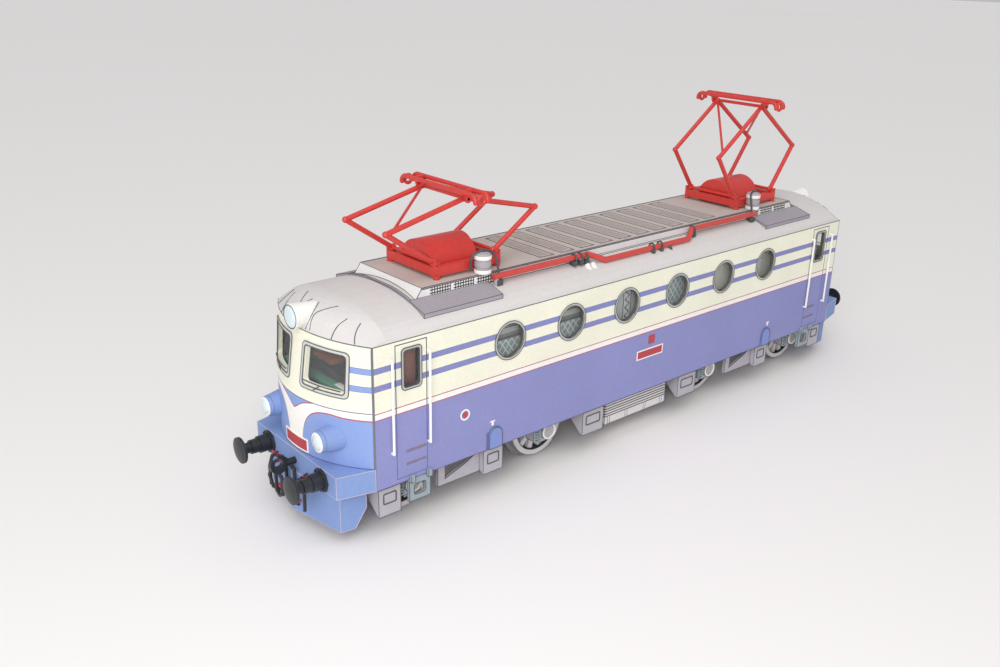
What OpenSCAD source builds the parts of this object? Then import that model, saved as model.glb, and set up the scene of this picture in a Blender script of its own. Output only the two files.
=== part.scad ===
// Card model of an electric locomotive with two two-axle bogies and two diamond pantographs.
// +X is forward, +Y is the left side and +Z is up. The origin is under the middle of the
// locomotive, level with the lowest points of the wheel flanges.

/* [Running gear] */
// Tread diameter of the wheels
wheel_dia = 14.4; // [13.4:0.1:15]
// Height of the flange past the tread
flange_depth = 0.9; // [0.7:0.1:1.1]
// Width of a wheel
wheel_width = 2.8; // [2.2:0.1:3]
// Distance between the inner faces of the two wheels of an axle
back_to_back = 14.4; // [14:0.1:14.8]
// Spokes in each wheel
spoke_count = 12; // [8:1:14]
// Diameter of the axles
axle_dia = 2; // [1.6:0.1:2.4]
// Distance between the two bogie pivots
pivot_spacing = 93.2; // [91:0.2:95]
// Distance between the two axles of a bogie
wheelbase = 36.8; // [35.6:0.2:37.2]
// Diameter of the pin on which a bogie turns
pivot_dia = 5; // [4:0.5:6]
// Radial gap between a pin and its bore
running_gap = 0.06; // [0.03:0.01:0.09]

/* [Body] */
// Distance between the front and the rear corners of the side walls
corner_length = 151.6; // [150:0.2:154]
// Width over the side walls
body_width = 33.9; // [33.5:0.1:36]
// Height of the side walls' lower edge
skirt_height = 11.3; // [11.1:0.1:11.8]
// Height of the waist band, where the cab fronts start to lean back
waist_height = 27; // [26:0.2:28]
// Height of the eaves
eave_height = 40.6; // [40:0.2:43]
// How far the cab front bulges ahead of the corners, from the headstock to the waist
nose_reach = 7; // [6:0.2:7.4]
// How far the cab front bulges ahead of the corners at the eaves
brow_reach = 5; // [4:0.2:5.6]
// Thickness of the card walls
wall = 0.9; // [0.7:0.1:1.1]
// Rise of the roof from the eaves to the crown
roof_rise = 5.3; // [4.8:0.1:5.6]
// Length of the rounded end of the roof, back from the eaves
dome_length = 6; // [5:0.5:8]
// Height of the floor's upper face
floor_top = 19.4; // [19.2:0.1:20]

/* [Windows] */
// Portholes on each side
porthole_count = 6; // [4:1:6]
// Distance between portholes
porthole_pitch = 17.2; // [15:0.2:17.6]
// Diameter of the porthole openings
porthole_dia = 7.2; // [6:0.1:8]
// Height of the portholes' centres
porthole_height = 34.2; // [33.5:0.1:34.8]
// Distance from the middle of the body to a cab door
door_place = 67.2; // [66:0.1:68]
// Width and height of the cab door's window
door_window = [3.9, 7.4]; // [3:0.1:8]
// Width and height of each windscreen
windscreen = [9.8, 7.2]; // [6:0.1:11]
// Distance from the middle of the cab front to the inner edge of a windscreen
windscreen_inset = 2.9; // [2.5:0.1:4]
// Thickness of the clear film in the windows
pane = 0.3; // [0.2:0.05:0.5]

/* [Ends] */
// Distance over the buffer heads
buffer_length = 180.9; // [179:0.1:184]
// Distance between the two buffers of one end
buffer_spacing = 20.1; // [19:0.1:21]
// Height of the buffers' centres
buffer_height = 13.6; // [13:0.1:14]
// Diameter of the buffer heads
buffer_dia = 5.4; // [4.6:0.1:5.8]
// Height of the headstock's lower and upper faces
headstock_span = [11.5, 16]; // [11:0.1:16.4]
// Height of the snowplow's lower edge
plow_low = 2.9; // [2:0.1:4]

/* [Roof gear] */
// Length of the raised part of the roof
hatch_length = 125; // [120:1:128]
// Width of the raised part of the roof
hatch_width = 21.2; // [20:0.2:22]
// Height of the raised part's upper face
hatch_top = 46.9; // [46.6:0.1:47.6]
// Diameter of the busbar
busbar_dia = 1.3; // [1:0.1:1.5]
// Height of the roof insulators
insulator_height = 4.4; // [3.5:0.1:5]

/* [Pantographs] */
// Distance from the middle of the locomotive to the front and rear pantographs
pantograph_places = [46.9, -48.3]; // [-50:0.1:50]
// Angle of the lower arms above the horizontal, front and rear
arm_angles = [34.2, 53.8]; // [33:0.1:56]
// Half the distance between the two lower pivots of one side
base_reach = 7.7; // [7.4:0.1:8]
// Height of the lower pivots above the raised roof
base_rise = 3.1; // [3:0.1:3.4]
// Length of a lower arm
lower_arm = 13.3; // [13:0.1:13.6]
// Length of an upper arm
upper_arm = 19.2; // [19:0.1:19.8]
// Half the distance between the left and right arms
arm_offset = 6.9; // [6.5:0.1:7.2]
// Diameter of the arms' wire
arm_dia = 1; // [0.8:0.1:1.1]
// Diameter of the pins and shafts
shaft_dia = 0.8; // [0.7:0.05:0.9]
// Half the length of the pantograph head
head_reach = 12.6; // [12:0.1:13]

/* [Hidden] */
$fn = 32;
cream = "#F3F2DC";
blue = "#8C93C9";
roof_grey = "#DCD6D2";
gear_grey = "#B9B5BC";
black = "#34383C";
red = "#D9433A";
white = "#F5F3F0";
front = 1;
rear = -1;
corner = corner_length / 2;
side = body_width / 2;
over = 1;
axle_height = wheel_dia / 2 + flange_depth;
pivot_place = pivot_spacing / 2;
floor_thickness = 1;
floor_low = floor_top - floor_thickness;
headstock_front = corner + nose_reach + 0.5;
hatch_low = 43.5;
gear_inner = 10.9;
gear_outer = 11.9;
gear_face = 16;
gear_top = 10.6;
lamp_height = 21.5;
lamp_offset = 9.9;
roof_lamp_height = 43.1;
roof_lamp_dia = 5;
// Height of the busbar over the raised roof and over the rounded edge
busbar_high = 46.2;
busbar_low = 44.6;
// Distance of the busbar from the middle beside the raised roof and past its fittings
busbar_near = 11.8;
busbar_far = 13.3;
busbar_end = 43.4;
busbar_route = [
    [busbar_end, busbar_near, busbar_high], [16.6, busbar_near, busbar_high],
    [12.6, busbar_far, busbar_low], [-15.5, busbar_far, busbar_low],
    [-18.5, busbar_near, busbar_high], [-busbar_end, busbar_near, busbar_high]
];
// Pantograph bases: width of the frame's beams and half the width over them
beam = 1.4;
base_half_width = arm_offset + 1.3;
pivot_height = hatch_top + base_rise;
// Insulators beside the pantograph bases
insulator_radius = 1.4;
insulator_gap = 0.15;
insulator_place = [44.6, base_half_width + insulator_gap + insulator_radius];
// Lapped joints of the arms: clearance of each half, radius of the eye and length of its tongue
lap = 0.05;
eye = 0.8;
eye_gap = 1.45;

// ---- shared shapes ----

// Outline of one end in plan: a bulge of the given reach on the given half width
module bulge(reach, half_width, start) {
    radius = (half_width * half_width + reach * reach) / (2 * reach);
    intersection() {
        translate([start + reach - radius, 0]) circle(radius, $fn = 96);
        translate([start - over, -half_width]) square([reach + 2 * over, 2 * half_width]);
    }
}

// Outline of the whole body in plan
module body_plan(reach, half_width = side, start = corner) {
    square([2 * start, 2 * half_width], center = true);
    for (end = [front, rear]) scale([end, 1]) bulge(reach, half_width, start);
}

// A thin level slice
module slice(height) {
    translate([0, 0, height]) linear_extrude(0.01) children();
}

// Everything inside the outer faces of the walls, drawn in by inset
module body_block(inset, low, high) {
    lean = (brow_reach - nose_reach) / (eave_height - waist_height);
    translate([0, 0, low]) linear_extrude(waist_height - low)
        offset(delta = -inset) body_plan(nose_reach);
    hull() {
        slice(waist_height - 0.01) offset(delta = -inset) body_plan(nose_reach);
        slice(high) offset(delta = -inset)
            body_plan(nose_reach + lean * (high - waist_height));
    }
}

// Everything under the roof's outer face, drawn in by inset
module roof_block(inset, low = eave_height) {
    steps = 9;
    last_turn = 87;
    hull() {
        slice(low) offset(delta = -inset) body_plan(brow_reach);
        for (step = [0 : steps]) {
            turn = last_turn * step / steps;
            slice(eave_height + (roof_rise - inset) * sin(turn))
                body_plan((brow_reach + dome_length / 2 - inset) * cos(turn),
                    (side - inset) * cos(turn), corner - dome_length / 2);
        }
    }
}

// Rounded rectangle in the YZ plane, run along X
module window_cut(width, height, corner_radius, length) {
    rotate([90, 0, 90]) linear_extrude(length, center = true)
        offset(corner_radius) square([width - 2 * corner_radius, height - 2 * corner_radius], center = true);
}

// Round bar between two points
module bar(from, to, dia) {
    along = to - from;
    length = norm(along);
    translate(from)
        rotate([0, acos(along[2] / length), atan2(along[1], along[0])])
            cylinder(d = dia, h = length);
}

// Bent round bar through a list of points
module bent_bar(points, dia) {
    for (i = [1 : len(points) - 1]) bar(points[i - 1], points[i], dia, $fn = 12);
    for (i = [1 : len(points) - 2]) translate(points[i]) sphere(d = dia * 1.05, $fn = 12);
}

// Cylinder along Y, centred on Y
module cross_bar(dia, length) {
    rotate([90, 0, 0]) cylinder(d = dia, h = length, center = true);
}

// Cylinder along X from the given point forward
module lengthwise(dia, length, end_dia = undef) {
    rotate([0, 90, 0]) cylinder(d1 = dia, d2 = is_undef(end_dia) ? dia : end_dia, h = length);
}

// Turns what is drawn for the front end to either end
module at_end(end) {
    rotate([0, 0, end == front ? 0 : 180]) children();
}

// ---- body ----

module floor() {
    color(gear_grey) difference() {
        translate([0, 0, floor_low]) linear_extrude(floor_thickness)
            offset(delta = -wall) body_plan(nose_reach);
        for (end = [front, rear]) translate([end * pivot_place, 0, floor_low - over])
            cylinder(d = pivot_dia + 2 * running_gap, h = floor_thickness + 2 * over, $fn = 48);
    }
}

module side_wall(hand) {
    middle = hand * (side - wall / 2);
    color(cream) difference() {
        translate([0, middle, (skirt_height + eave_height) / 2])
            cube([corner_length, wall, eave_height - skirt_height], center = true);
        for (i = [0 : porthole_count - 1])
            translate([(i - (porthole_count - 1) / 2) * porthole_pitch, middle, porthole_height])
                cross_bar(porthole_dia, wall + 2 * over, $fn = 48);
        for (end = [front, rear]) translate([end * door_place, middle, porthole_height + 0.5])
            rotate([0, 0, 90]) window_cut(door_window[0], door_window[1], 0.8, wall + 2 * over);
    }
}

// The two windscreen openings of one end, grown by margin on every edge
module windscreen_shapes(margin) {
    for (hand = [1, -1])
        translate([corner + nose_reach / 2, hand * (windscreen_inset + windscreen[0] / 2), porthole_height + 0.5])
            window_cut(windscreen[0] + 2 * margin, windscreen[1] + 2 * margin, 0.8, 3 * nose_reach);
}

module end_wall(end) {
    color(cream) at_end(end) difference() {
        intersection() {
            body_block(0, headstock_span[1], eave_height);
            translate([corner, -side, headstock_span[1]])
                cube([2 * nose_reach, body_width, eave_height - headstock_span[1]]);
        }
        body_block(wall, headstock_span[1] - over, eave_height + over);
        windscreen_shapes(0);
    }
}

module windscreens(end) {
    color([0.8, 0.9, 0.95, 0.4]) at_end(end) intersection() {
        difference() {
            body_block(wall, skirt_height, eave_height);
            body_block(wall + pane, skirt_height - over, eave_height + over);
        }
        windscreen_shapes(0.7);
    }
}

module side_window_panes() {
    middle = side - wall - pane / 2;
    color([0.8, 0.9, 0.95, 0.4]) for (hand = [1, -1]) {
        for (i = [0 : porthole_count - 1])
            translate([(i - (porthole_count - 1) / 2) * porthole_pitch, hand * middle, porthole_height])
                cross_bar(porthole_dia + 1.6, pane, $fn = 48);
        for (end = [front, rear]) translate([end * door_place, hand * middle, porthole_height + 0.5])
            cube([door_window[0] + 1.6, pane, door_window[1] + 1.6], center = true);
    }
}

module roof() {
    color(roof_grey) difference() {
        roof_block(0);
        roof_block(wall, eave_height - over);
    }
}

// ---- roof gear ----

module roof_hatch() {
    half = hatch_length / 2;
    slope = 2.4;
    color(roof_grey) difference() {
        rotate([90, 0, 0]) linear_extrude(hatch_width, center = true) polygon([
            [-half, hatch_low], [half, hatch_low], [half - slope, hatch_top], [slope - half, hatch_top]
        ]);
        roof_block(0);
    }
}

module roof_walkways() {
    span = [43.8, hatch_length / 2];
    outer = side - 1.6;
    inner = hatch_width / 2;
    strip = 0.6;
    color("#8E858A") for (end = [front, rear]) at_end(end) difference() {
        union() {
            for (hand = [1, -1]) scale([1, hand, 1])
                translate([span[0], 0, 0]) rotate([90, 0, 90]) linear_extrude(span[1] - span[0] + strip)
                    polygon([[inner, 42], [outer, 42], [outer, 43.7], [inner, 45.1]]);
            translate([span[1], -outer, 42]) cube([strip, 2 * outer, 4.1]);
        }
        roof_block(0);
        translate([span[1] - over, 0, 0]) rotate([90, 0, 90]) linear_extrude(strip + 2 * over)
            difference() {
                translate([-side, 42]) square([body_width, 5]);
                translate([0, eave_height]) scale([1, (roof_rise + 0.35) / (side + 0.35)])
                    circle(side + 0.35, $fn = 96);
                for (hand = [1, -1]) scale([hand, 1])
                    polygon([[inner, 41], [side, 41], [side, 43.7], [outer, 43.7], [inner, 45.1]]);
            }
    }
}

module busbar() {
    color(red) bent_bar(busbar_route, busbar_dia);
}

// Ribbed insulator standing on the raised roof
module insulator() {
    neck = insulator_radius - 0.3;
    cap = insulator_radius - 0.6;
    rotate_extrude() polygon([
        [0, 0], [insulator_radius, 0], [insulator_radius, 0.9], [neck, 1.1], [neck, 1.4],
        [insulator_radius, 1.6], [insulator_radius, 2.6], [neck, 2.8], [neck, 3.1],
        [insulator_radius, 3.3], [insulator_radius, 3.9], [cap, insulator_height], [0, insulator_height]
    ]);
}

module roof_insulators() {
    stands = [42.6, 19, -19.6, -42.6];
    stand_dia = 1.1;
    low = 42;
    color(gear_grey) {
        for (end = [front, rear])
            translate([end * insulator_place[0], insulator_place[1], hatch_top]) insulator();
        for (stand = stands) difference() {
            translate([stand, busbar_near, low]) cylinder(d = stand_dia, h = busbar_high - low);
            roof_block(0);
            bent_bar(busbar_route, busbar_dia);
        }
    }
}

// ---- ends ----

module headstock(end) {
    color(blue) at_end(end) translate([0, 0, headstock_span[0]])
        linear_extrude(headstock_span[1] - headstock_span[0]) polygon([
            [corner, -side], [headstock_front, -side + 1.8], [headstock_front, side - 1.8], [corner, side]
        ]);
}

module buffers(end) {
    reach = buffer_length / 2;
    head = buffer_dia / 2;
    color(black) at_end(end) for (hand = [1, -1])
        translate([0, hand * buffer_spacing / 2, buffer_height]) rotate([0, 90, 0]) rotate_extrude()
            polygon([
                [0, headstock_front], [2.1, headstock_front], [2.1, headstock_front + 0.6],
                [1.75, headstock_front + 0.6], [1.75, headstock_front + 2.6],
                [1.45, headstock_front + 2.6], [1.45, headstock_front + 4.4],
                [1.1, headstock_front + 4.4], [1.1, reach - 1], [head, reach - 0.9],
                [head, reach - 0.4], [head / 2, reach - 0.1], [0, reach]
            ]);
}

// One chain link hanging in the plane X = 0, its top at the origin
module link(length, width, dia) {
    bent_bar([[0, 0, 0], [0, width / 2, -dia], [0, width / 2, dia - length], [0, 0, -length]], dia);
    bent_bar([[0, 0, 0], [0, -width / 2, -dia], [0, -width / 2, dia - length], [0, 0, -length]], dia);
}

module coupling(end) {
    start = headstock_front;
    color(black) at_end(end) translate([0, 0, buffer_height]) {
        translate([start, 0, 0]) lengthwise(1.4, 2.2);
        translate([start + 1.6, 0, 0.2]) rotate([90, 0, 0]) linear_extrude(1, center = true) difference() {
            union() {
                translate([2, 0]) circle(1.9);
                translate([0, -0.7]) square([1.6, 1.4]);
            }
            translate([2.1, 0.3]) circle(0.9);
            translate([1.9, 0.3]) rotate(30) square([3, 1.1]);
        }
        translate([start + 3.7, 0, -1.6]) link(5, 2.4, 0.7);
        translate([start + 1.2, 0, -0.3]) link(6.4, 3.2, 0.7);
    }
}

module snowplow(end) {
    tip = corner + 8.4;
    knee = [corner + 5.8, 13.3];
    back = [corner + 0.4, 14];
    thickness = 0.7;
    top = headstock_span[0];
    color(blue) at_end(end) difference() {
        translate([0, 0, plow_low]) linear_extrude(top - plow_low) difference() {
            polygon([[tip, 0], knee, back, [back[0], -back[1]], [knee[0], -knee[1]]]);
            offset(delta = -thickness)
                polygon([[tip, 0], knee, [back[0] - 3, back[1] + 0.4], [back[0] - 3, -back[1] - 0.4], [knee[0], -knee[1]]]);
        }
        rotate([90, 0, 0]) linear_extrude(4 * side, center = true)
            polygon([[back[0] - over, 0], [knee[0] - 3, 0], [knee[0] - 3, plow_low], [back[0] - over, top - 3]]);
    }
}

module brake_hoses(end) {
    start = headstock_front;
    color(black) at_end(end) for (hand = [1, -1]) {
        bent_bar([[start - 0.01, hand * 4.6, 12.4], [start + 2.2, hand * 4.7, 11.8], [start + 3.4, hand * 4.5, 9.6],
            [start + 3, hand * 4, 7], [start + 1.6, hand * 3.4, 5.8]], 0.7);
        bent_bar([[start - 0.01, hand * 6.9, 12.4], [start + 1.4, hand * 6.9, 12], [start + 2.1, hand * 6.8, 10],
            [start + 2.1, hand * 6.6, 6]], 0.7);
    }
}

module headlights(end) {
    color(blue) at_end(end) difference() {
        for (hand = [1, -1]) translate([corner + 2, hand * lamp_offset, lamp_height])
            lengthwise(6.2, 6, 4);
        body_block(0, headstock_span[1] - over, eave_height);
    }
}

module roof_lamp(end) {
    color(white) at_end(end) difference() {
        translate([corner - 2.4, 0, roof_lamp_height]) lengthwise(3.4, 9, roof_lamp_dia);
        roof_block(0);
        body_block(0, headstock_span[1], eave_height + 0.01);
    }
}

// ---- inside ----

module cab_interior(end) {
    bulkhead = 57;
    inside = side - wall - 1;
    color("#A9714F") at_end(end) {
        translate([bulkhead, -inside, floor_top]) cube([0.8, 2 * inside, eave_height - floor_top - 0.6]);
        translate([corner - 2, -11, floor_top]) cube([4, 22, 10.4]);
    }
}

module machine_room_screens() {
    color("#9A8C86") for (hand = [1, -1])
        translate([-56.8, hand * 13.2 - 0.3, floor_top]) cube([113.6, 0.6, eave_height - floor_top - 0.6]);
}

// ---- side details ----

module battery_boxes() {
    color(gear_grey) for (hand = [1, -1])
        translate([-10.6, hand == 1 ? 9.4 : -14.2, 4.2]) cube([21.2, 4.8, floor_low - 4.2]);
}

module cab_steps() {
    width = 5;
    low = 6.3;
    color(gear_grey) for (end = [front, rear], hand = [1, -1])
        scale([end, hand, 1]) translate([door_place - 1.6, side - wall / 2, 0]) {
            difference() {
                translate([0, 0, (low + skirt_height) / 2]) cube([width, 0.8, skirt_height - low], center = true);
                translate([0, 0, 8.7]) rotate([0, 0, 90]) window_cut(2.8, 2.4, 0.5, 3);
            }
            for (place = [-1, 1]) translate([place * (width / 2 - 0.45), 0.4, 11.5])
                difference() {
                    translate([0, 0.25, 0]) cube([0.9, 1, 1.4], center = true);
                    translate([-over, -1, skirt_height - 11.5]) cube([2 * over, 1 + wall / 2 - 0.4, 2]);
                }
        }
}

module handrails() {
    stand_off = 0.7;
    color(white) for (end = [front, rear], hand = [1, -1], place = [63.5, 72])
        scale([end, hand, 1]) bent_bar([
            [place, side, 18.3], [place, side + stand_off, 18.3],
            [place, side + stand_off, 37.2], [place, side, 37.2]
        ], 0.5);
}

module pivot_covers() {
    width = 3.4;
    depth = 0.4;
    low = 11.4;
    shoulder = 14.3;
    color(blue) for (end = [front, rear], hand = [1, -1])
        translate([end * pivot_place, hand * (side + depth / 2), 0]) rotate([90, 0, 0])
            linear_extrude(depth, center = true) {
                translate([-width / 2, low]) square([width, shoulder - low]);
                translate([0, shoulder]) circle(width / 2);
            }
}

// ---- bogies ----

// Hopper-shaped box outside the bogie frame, between two places along X
module hopper(from, to, low) {
    translate([from, 0, 0]) rotate([90, 0, 90]) linear_extrude(to - from) polygon([
        [gear_outer, gear_top], [gear_outer, low + 3.1], [gear_face - 0.4, low], [gear_face, low],
        [gear_face, gear_top]
    ]);
}

module bogie_frame(end) {
    outer_end = 28.1;
    inner_end = 33.4;
    transom = 9.5;
    top = 17.2;
    side_low = 10.4;
    color(gear_grey) translate([end * pivot_place, 0, 0]) scale([end, 1, 1]) {
        translate([-transom, -gear_inner, 9]) cube([2 * transom, 2 * gear_inner, top - 9]);
        for (hand = [1, -1]) scale([1, hand, 1])
            translate([-inner_end, gear_inner, side_low - 1])
                difference() {
                    cube([inner_end + outer_end, gear_outer - gear_inner, 4.2]);
                    for (axle = [-1, 1])
                        translate([inner_end + axle * wheelbase / 2 - 3, -over, -over]) cube([6, 3, 2]);
                }
        for (place = [27, -27.8]) translate([place, -gear_inner, side_low])
            cube([0.8, 2 * gear_inner, 2.4]);
        translate([0, 0, top]) cylinder(r = 5, h = floor_low - top - 0.1);
        translate([0, 0, top]) cylinder(d = pivot_dia, h = floor_top + 0.6 - top, $fn = 48);
    }
}

module bogie_axleboxes(end) {
    low = 5.6;
    depth = 2.3;
    color(gear_grey) translate([end * pivot_place, 0, 0])
        for (axle = [-1, 1], hand = [1, -1]) scale([1, hand, 1])
            translate([axle * wheelbase / 2, gear_inner, 0]) difference() {
                union() {
                    translate([-2.2, 0, low]) cube([4.4, depth, 10.4 - low]);
                    translate([0, depth, axle_height]) rotate([-90, 0, 0]) cylinder(d = 4, h = 0.7);
                    translate([2.2, 0, low + 0.8]) cube([1.8, depth, 2.6]);
                }
                translate([0, -over, axle_height]) rotate([-90, 0, 0])
                    cylinder(d = axle_dia + 2 * running_gap, h = over + 1.8);
            }
}

module bogie_side_bearers(end) {
    color(gear_grey) translate([end * pivot_place, 0, 0]) for (turn = [0, 180]) rotate([0, 0, turn]) {
        hopper(-3, 2.2, 5.2);
        translate([0, 14.3, 0]) rotate([90, 0, 0]) linear_extrude(0.8, center = true) polygon([
            [2, 5.6], [13, 5.6], [13, gear_top], [11.2, gear_top], [11.2, 6.8], [5.8, 8.7], [2, gear_top]
        ]);
    }
}

module bogie_sandboxes(end) {
    color(gear_grey) translate([end * pivot_place, 0, 0])
        for (hand = [1, -1]) scale([end, hand, 1]) {
            hopper(23, 28.1, 4.7);
            hopper(-33.4, -26.8, 5);
        }
}

module wheel() {
    tread = wheel_dia / 2;
    rim = tread - 1.3;
    hub = 2.1;
    gap_angle = 360 / spoke_count;
    difference() {
        rotate_extrude($fn = 64) polygon([
            [0, 0], [hub, 0], [hub, 1.2], [rim, 1.2], [rim, 0], [tread + flange_depth, 0.1],
            [tread + flange_depth, 0.6], [tread, 0.9], [tread - 0.06, wheel_width], [rim, wheel_width],
            [rim, 2.2], [hub, 2.2], [hub, wheel_width], [0, wheel_width]
        ]);
        for (i = [0 : spoke_count - 1]) rotate(i * gap_angle) linear_extrude(2 * wheel_width)
            polygon([[hub + 0.5, 0.15], [rim - 0.1, 0.85], [rim - 0.1, -0.85], [hub + 0.5, -0.15]]);
    }
}

module wheelset(end, axle) {
    color(gear_grey) translate([end * pivot_place + axle * wheelbase / 2, 0, axle_height]) {
        cross_bar(axle_dia, 2 * gear_inner + 3.2, $fn = 48);
        for (hand = [1, -1]) rotate([-90 * hand, 0, 0]) translate([0, 0, back_to_back / 2]) wheel();
    }
}

// ---- pantographs ----

// Angle of the upper arms above the horizontal, for a lower arm angle
function upper_angle(angle) = acos((base_reach + lower_arm * cos(angle)) / upper_arm);
function knuckle(angle, hand) =
    [hand * (base_reach + lower_arm * cos(angle)), pivot_height + lower_arm * sin(angle)];
function apex(angle) = pivot_height + lower_arm * sin(angle) + upper_arm * sin(upper_angle(angle));

// Half of a lapped joint at the origin of XZ, with its tongue pointing along angle; layer 1 is
// the outer half and layer -1 the inner half
module lap_half(angle, layer, radius = eye) {
    thickness = arm_dia / 2 - lap;
    translate([0, layer * (thickness / 2 + lap), 0]) {
        cross_bar(2 * radius, thickness);
        rotate([0, -angle, 0]) translate([(eye_gap + 0.4) / 2, 0, 0])
            cube([eye_gap + 0.4, thickness, arm_dia * 0.8], center = true);
    }
}

// An arm in the XZ plane at one side, its two ends lapped where asked
module arm(from, to, layer_from, layer_to) {
    along = to - from;
    length = norm(along);
    angle = atan2(along[1], along[0]);
    start = layer_from == 0 ? 0 : eye_gap;
    finish = layer_to == 0 ? length : length - eye_gap;
    translate([from[0], 0, from[1]]) rotate([0, 90 - angle, 0])
        translate([0, 0, start]) cylinder(d = arm_dia, h = finish - start);
    if (layer_from != 0) translate([from[0], 0, from[1]]) lap_half(angle, layer_from);
    if (layer_to != 0) translate([to[0], 0, to[1]]) lap_half(angle + 180, layer_to);
}

module pantograph_base(place) {
    low = hatch_top + 0.7;
    high = pivot_height - shaft_dia / 2 - 0.2;
    half = base_reach + beam / 2;
    wide = base_half_width;
    color(red) translate([place, 0, 0]) difference() {
        union() {
            translate([0, 0, low]) linear_extrude(high - low) difference() {
                square([2 * half, 2 * wide], center = true);
                square([2 * half - 2 * beam, 2 * wide - 2 * beam], center = true);
            }
            for (end = [-1, 1], hand = [1, -1]) translate([end * base_reach, hand * (wide - 0.35), 0]) {
                translate([-0.7, -0.35, high - 0.01]) cube([1.4, 0.7, 0.9]);
                translate([0, 0, hatch_top]) cylinder(d = 1.4, h = low - hatch_top + 0.1);
            }
            translate([1.1, 0, 0]) rotate([90, 0, 90]) linear_extrude(11.6, center = true)
                intersection() {
                    translate([0, low]) scale([1, 1.04]) circle(5.3, $fn = 48);
                    translate([-9, low]) square(18);
                }
            translate([0, 0, low]) linear_extrude(0.8) square([2 * half - 1, 9], center = true);
        }
        for (end = [-1, 1]) translate([end * base_reach, 0, pivot_height])
            cross_bar(shaft_dia + 2 * running_gap, 2 * wide + 2 * over, $fn = 24);
    }
}

module pantograph_lower(place, angle, hand) {
    foot = [hand * base_reach, pivot_height];
    color(red) translate([place, 0, 0]) {
        translate([foot[0], 0, foot[1]]) cross_bar(shaft_dia, 2 * base_half_width - 0.2, $fn = 24);
        for (side_hand = [1, -1]) translate([0, side_hand * arm_offset, 0]) scale([1, side_hand, 1]) {
            arm(foot, knuckle(angle, hand), 0, 1);
            translate([knuckle(angle, hand)[0], 0, knuckle(angle, hand)[1]])
                cross_bar(shaft_dia * 0.75, arm_dia, $fn = 24);
        }
    }
}

module pantograph_upper(place, angle, hand) {
    top = [0, apex(angle)];
    low = knuckle(angle, hand);
    brace_dia = 0.5;
    brace_low = low + (top - low) * 0.1;
    brace_high = hand == 1 ? top : top + (low - top) * 0.1;
    color(red) translate([place, 0, 0]) {
        for (side_hand = [1, -1]) translate([0, side_hand * arm_offset, 0]) scale([1, side_hand, 1])
            difference() {
                arm(low, top, -1, hand == 1 ? -1 : 1);
                translate([low[0], 0, low[1]])
                    cross_bar(shaft_dia * 0.75 + 2 * running_gap, 2 * arm_dia, $fn = 24);
                if (hand == -1) translate([top[0], 0, top[1]]) cross_bar(shaft_dia + 0.7, 2 * arm_dia, $fn = 24);
            }
        bar([brace_low[0], hand * arm_offset, brace_low[1]],
            [brace_high[0], -hand * (arm_offset - lap - arm_dia / 4), brace_high[1]], brace_dia);
        if (hand == 1) translate([top[0], 0, top[1]]) cross_bar(shaft_dia, 2 * arm_offset + 2.8, $fn = 24);
    }
}

// Outline of a contact strip: straight, with its two horns turned down
module strip_outline(rise) {
    horn_radius = 1.9;
    horn_turn = 80;
    steps = 8;
    bend = head_reach - horn_radius * sin(horn_turn) - arm_dia / 2;
    outer = horn_radius + arm_dia / 2;
    inner = horn_radius - arm_dia / 2;
    turns = [for (step = [0 : steps]) horn_turn * step / steps];
    function rim(radius, hand) = [for (turn = turns)
        [hand * (bend + radius * sin(turn)), rise - horn_radius + radius * cos(turn)]];
    function back(list) = [for (i = [len(list) - 1 : -1 : 0]) list[i]];
    polygon(concat(rim(outer, 1), back(rim(inner, 1)), rim(inner, -1), back(rim(outer, -1))));
}

module pantograph_head(place, angle) {
    top = apex(angle);
    strip = 1.5;
    rise = 1.5;
    plate = 0.6;
    color(red) translate([place, 0, top]) difference() {
        union() {
            for (end = [-1, 1]) translate([end * strip, 0, 0]) rotate([90, 0, 90])
                linear_extrude(arm_dia, center = true) strip_outline(rise);
            for (hand = [1, -1]) translate([0, hand * (arm_offset + 0.95), 0]) {
                translate([0, 0, rise]) cube([2 * strip, plate, 0.8], center = true);
                translate([0, 0, rise / 2]) cube([1.5, plate, rise], center = true);
                cross_bar(1.8, plate);
            }
        }
        cross_bar(shaft_dia + 2 * running_gap, 4 * arm_offset, $fn = 24);
    }
}

// ---- nodes ----

floor();
side_wall(1);  // left_side_wall
side_wall(-1);  // right_side_wall
end_wall(front);  // front_end_wall
end_wall(rear);  // rear_end_wall
roof();
roof_hatch();
roof_walkways();
busbar();
roof_insulators();
headstock(front);  // front_headstock
headstock(rear);  // rear_headstock
buffers(front);  // front_buffers
buffers(rear);  // rear_buffers
coupling(front);  // front_coupling
coupling(rear);  // rear_coupling
snowplow(front);  // front_snowplow
snowplow(rear);  // rear_snowplow
brake_hoses(front);  // front_brake_hoses
brake_hoses(rear);  // rear_brake_hoses
battery_boxes();
cab_steps();
handrails();
pivot_covers();
windscreens(front);  // front_windscreens
windscreens(rear);  // rear_windscreens
side_window_panes();
headlights(front);  // front_headlights
headlights(rear);  // rear_headlights
roof_lamp(front);  // front_roof_lamp
roof_lamp(rear);  // rear_roof_lamp
cab_interior(front);  // front_cab_interior
cab_interior(rear);  // rear_cab_interior
machine_room_screens();
bogie_frame(front);  // front_bogie_frame
bogie_axleboxes(front);  // front_bogie_axleboxes
bogie_side_bearers(front);  // front_bogie_side_bearers
bogie_sandboxes(front);  // front_bogie_sandboxes
bogie_frame(rear);  // rear_bogie_frame
bogie_axleboxes(rear);  // rear_bogie_axleboxes
bogie_side_bearers(rear);  // rear_bogie_side_bearers
bogie_sandboxes(rear);  // rear_bogie_sandboxes
wheelset(front, 1);  // wheelset_1
wheelset(front, -1);  // wheelset_2
wheelset(rear, 1);  // wheelset_3
wheelset(rear, -1);  // wheelset_4
pantograph_base(pantograph_places[0]);  // front_pantograph_base
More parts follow.
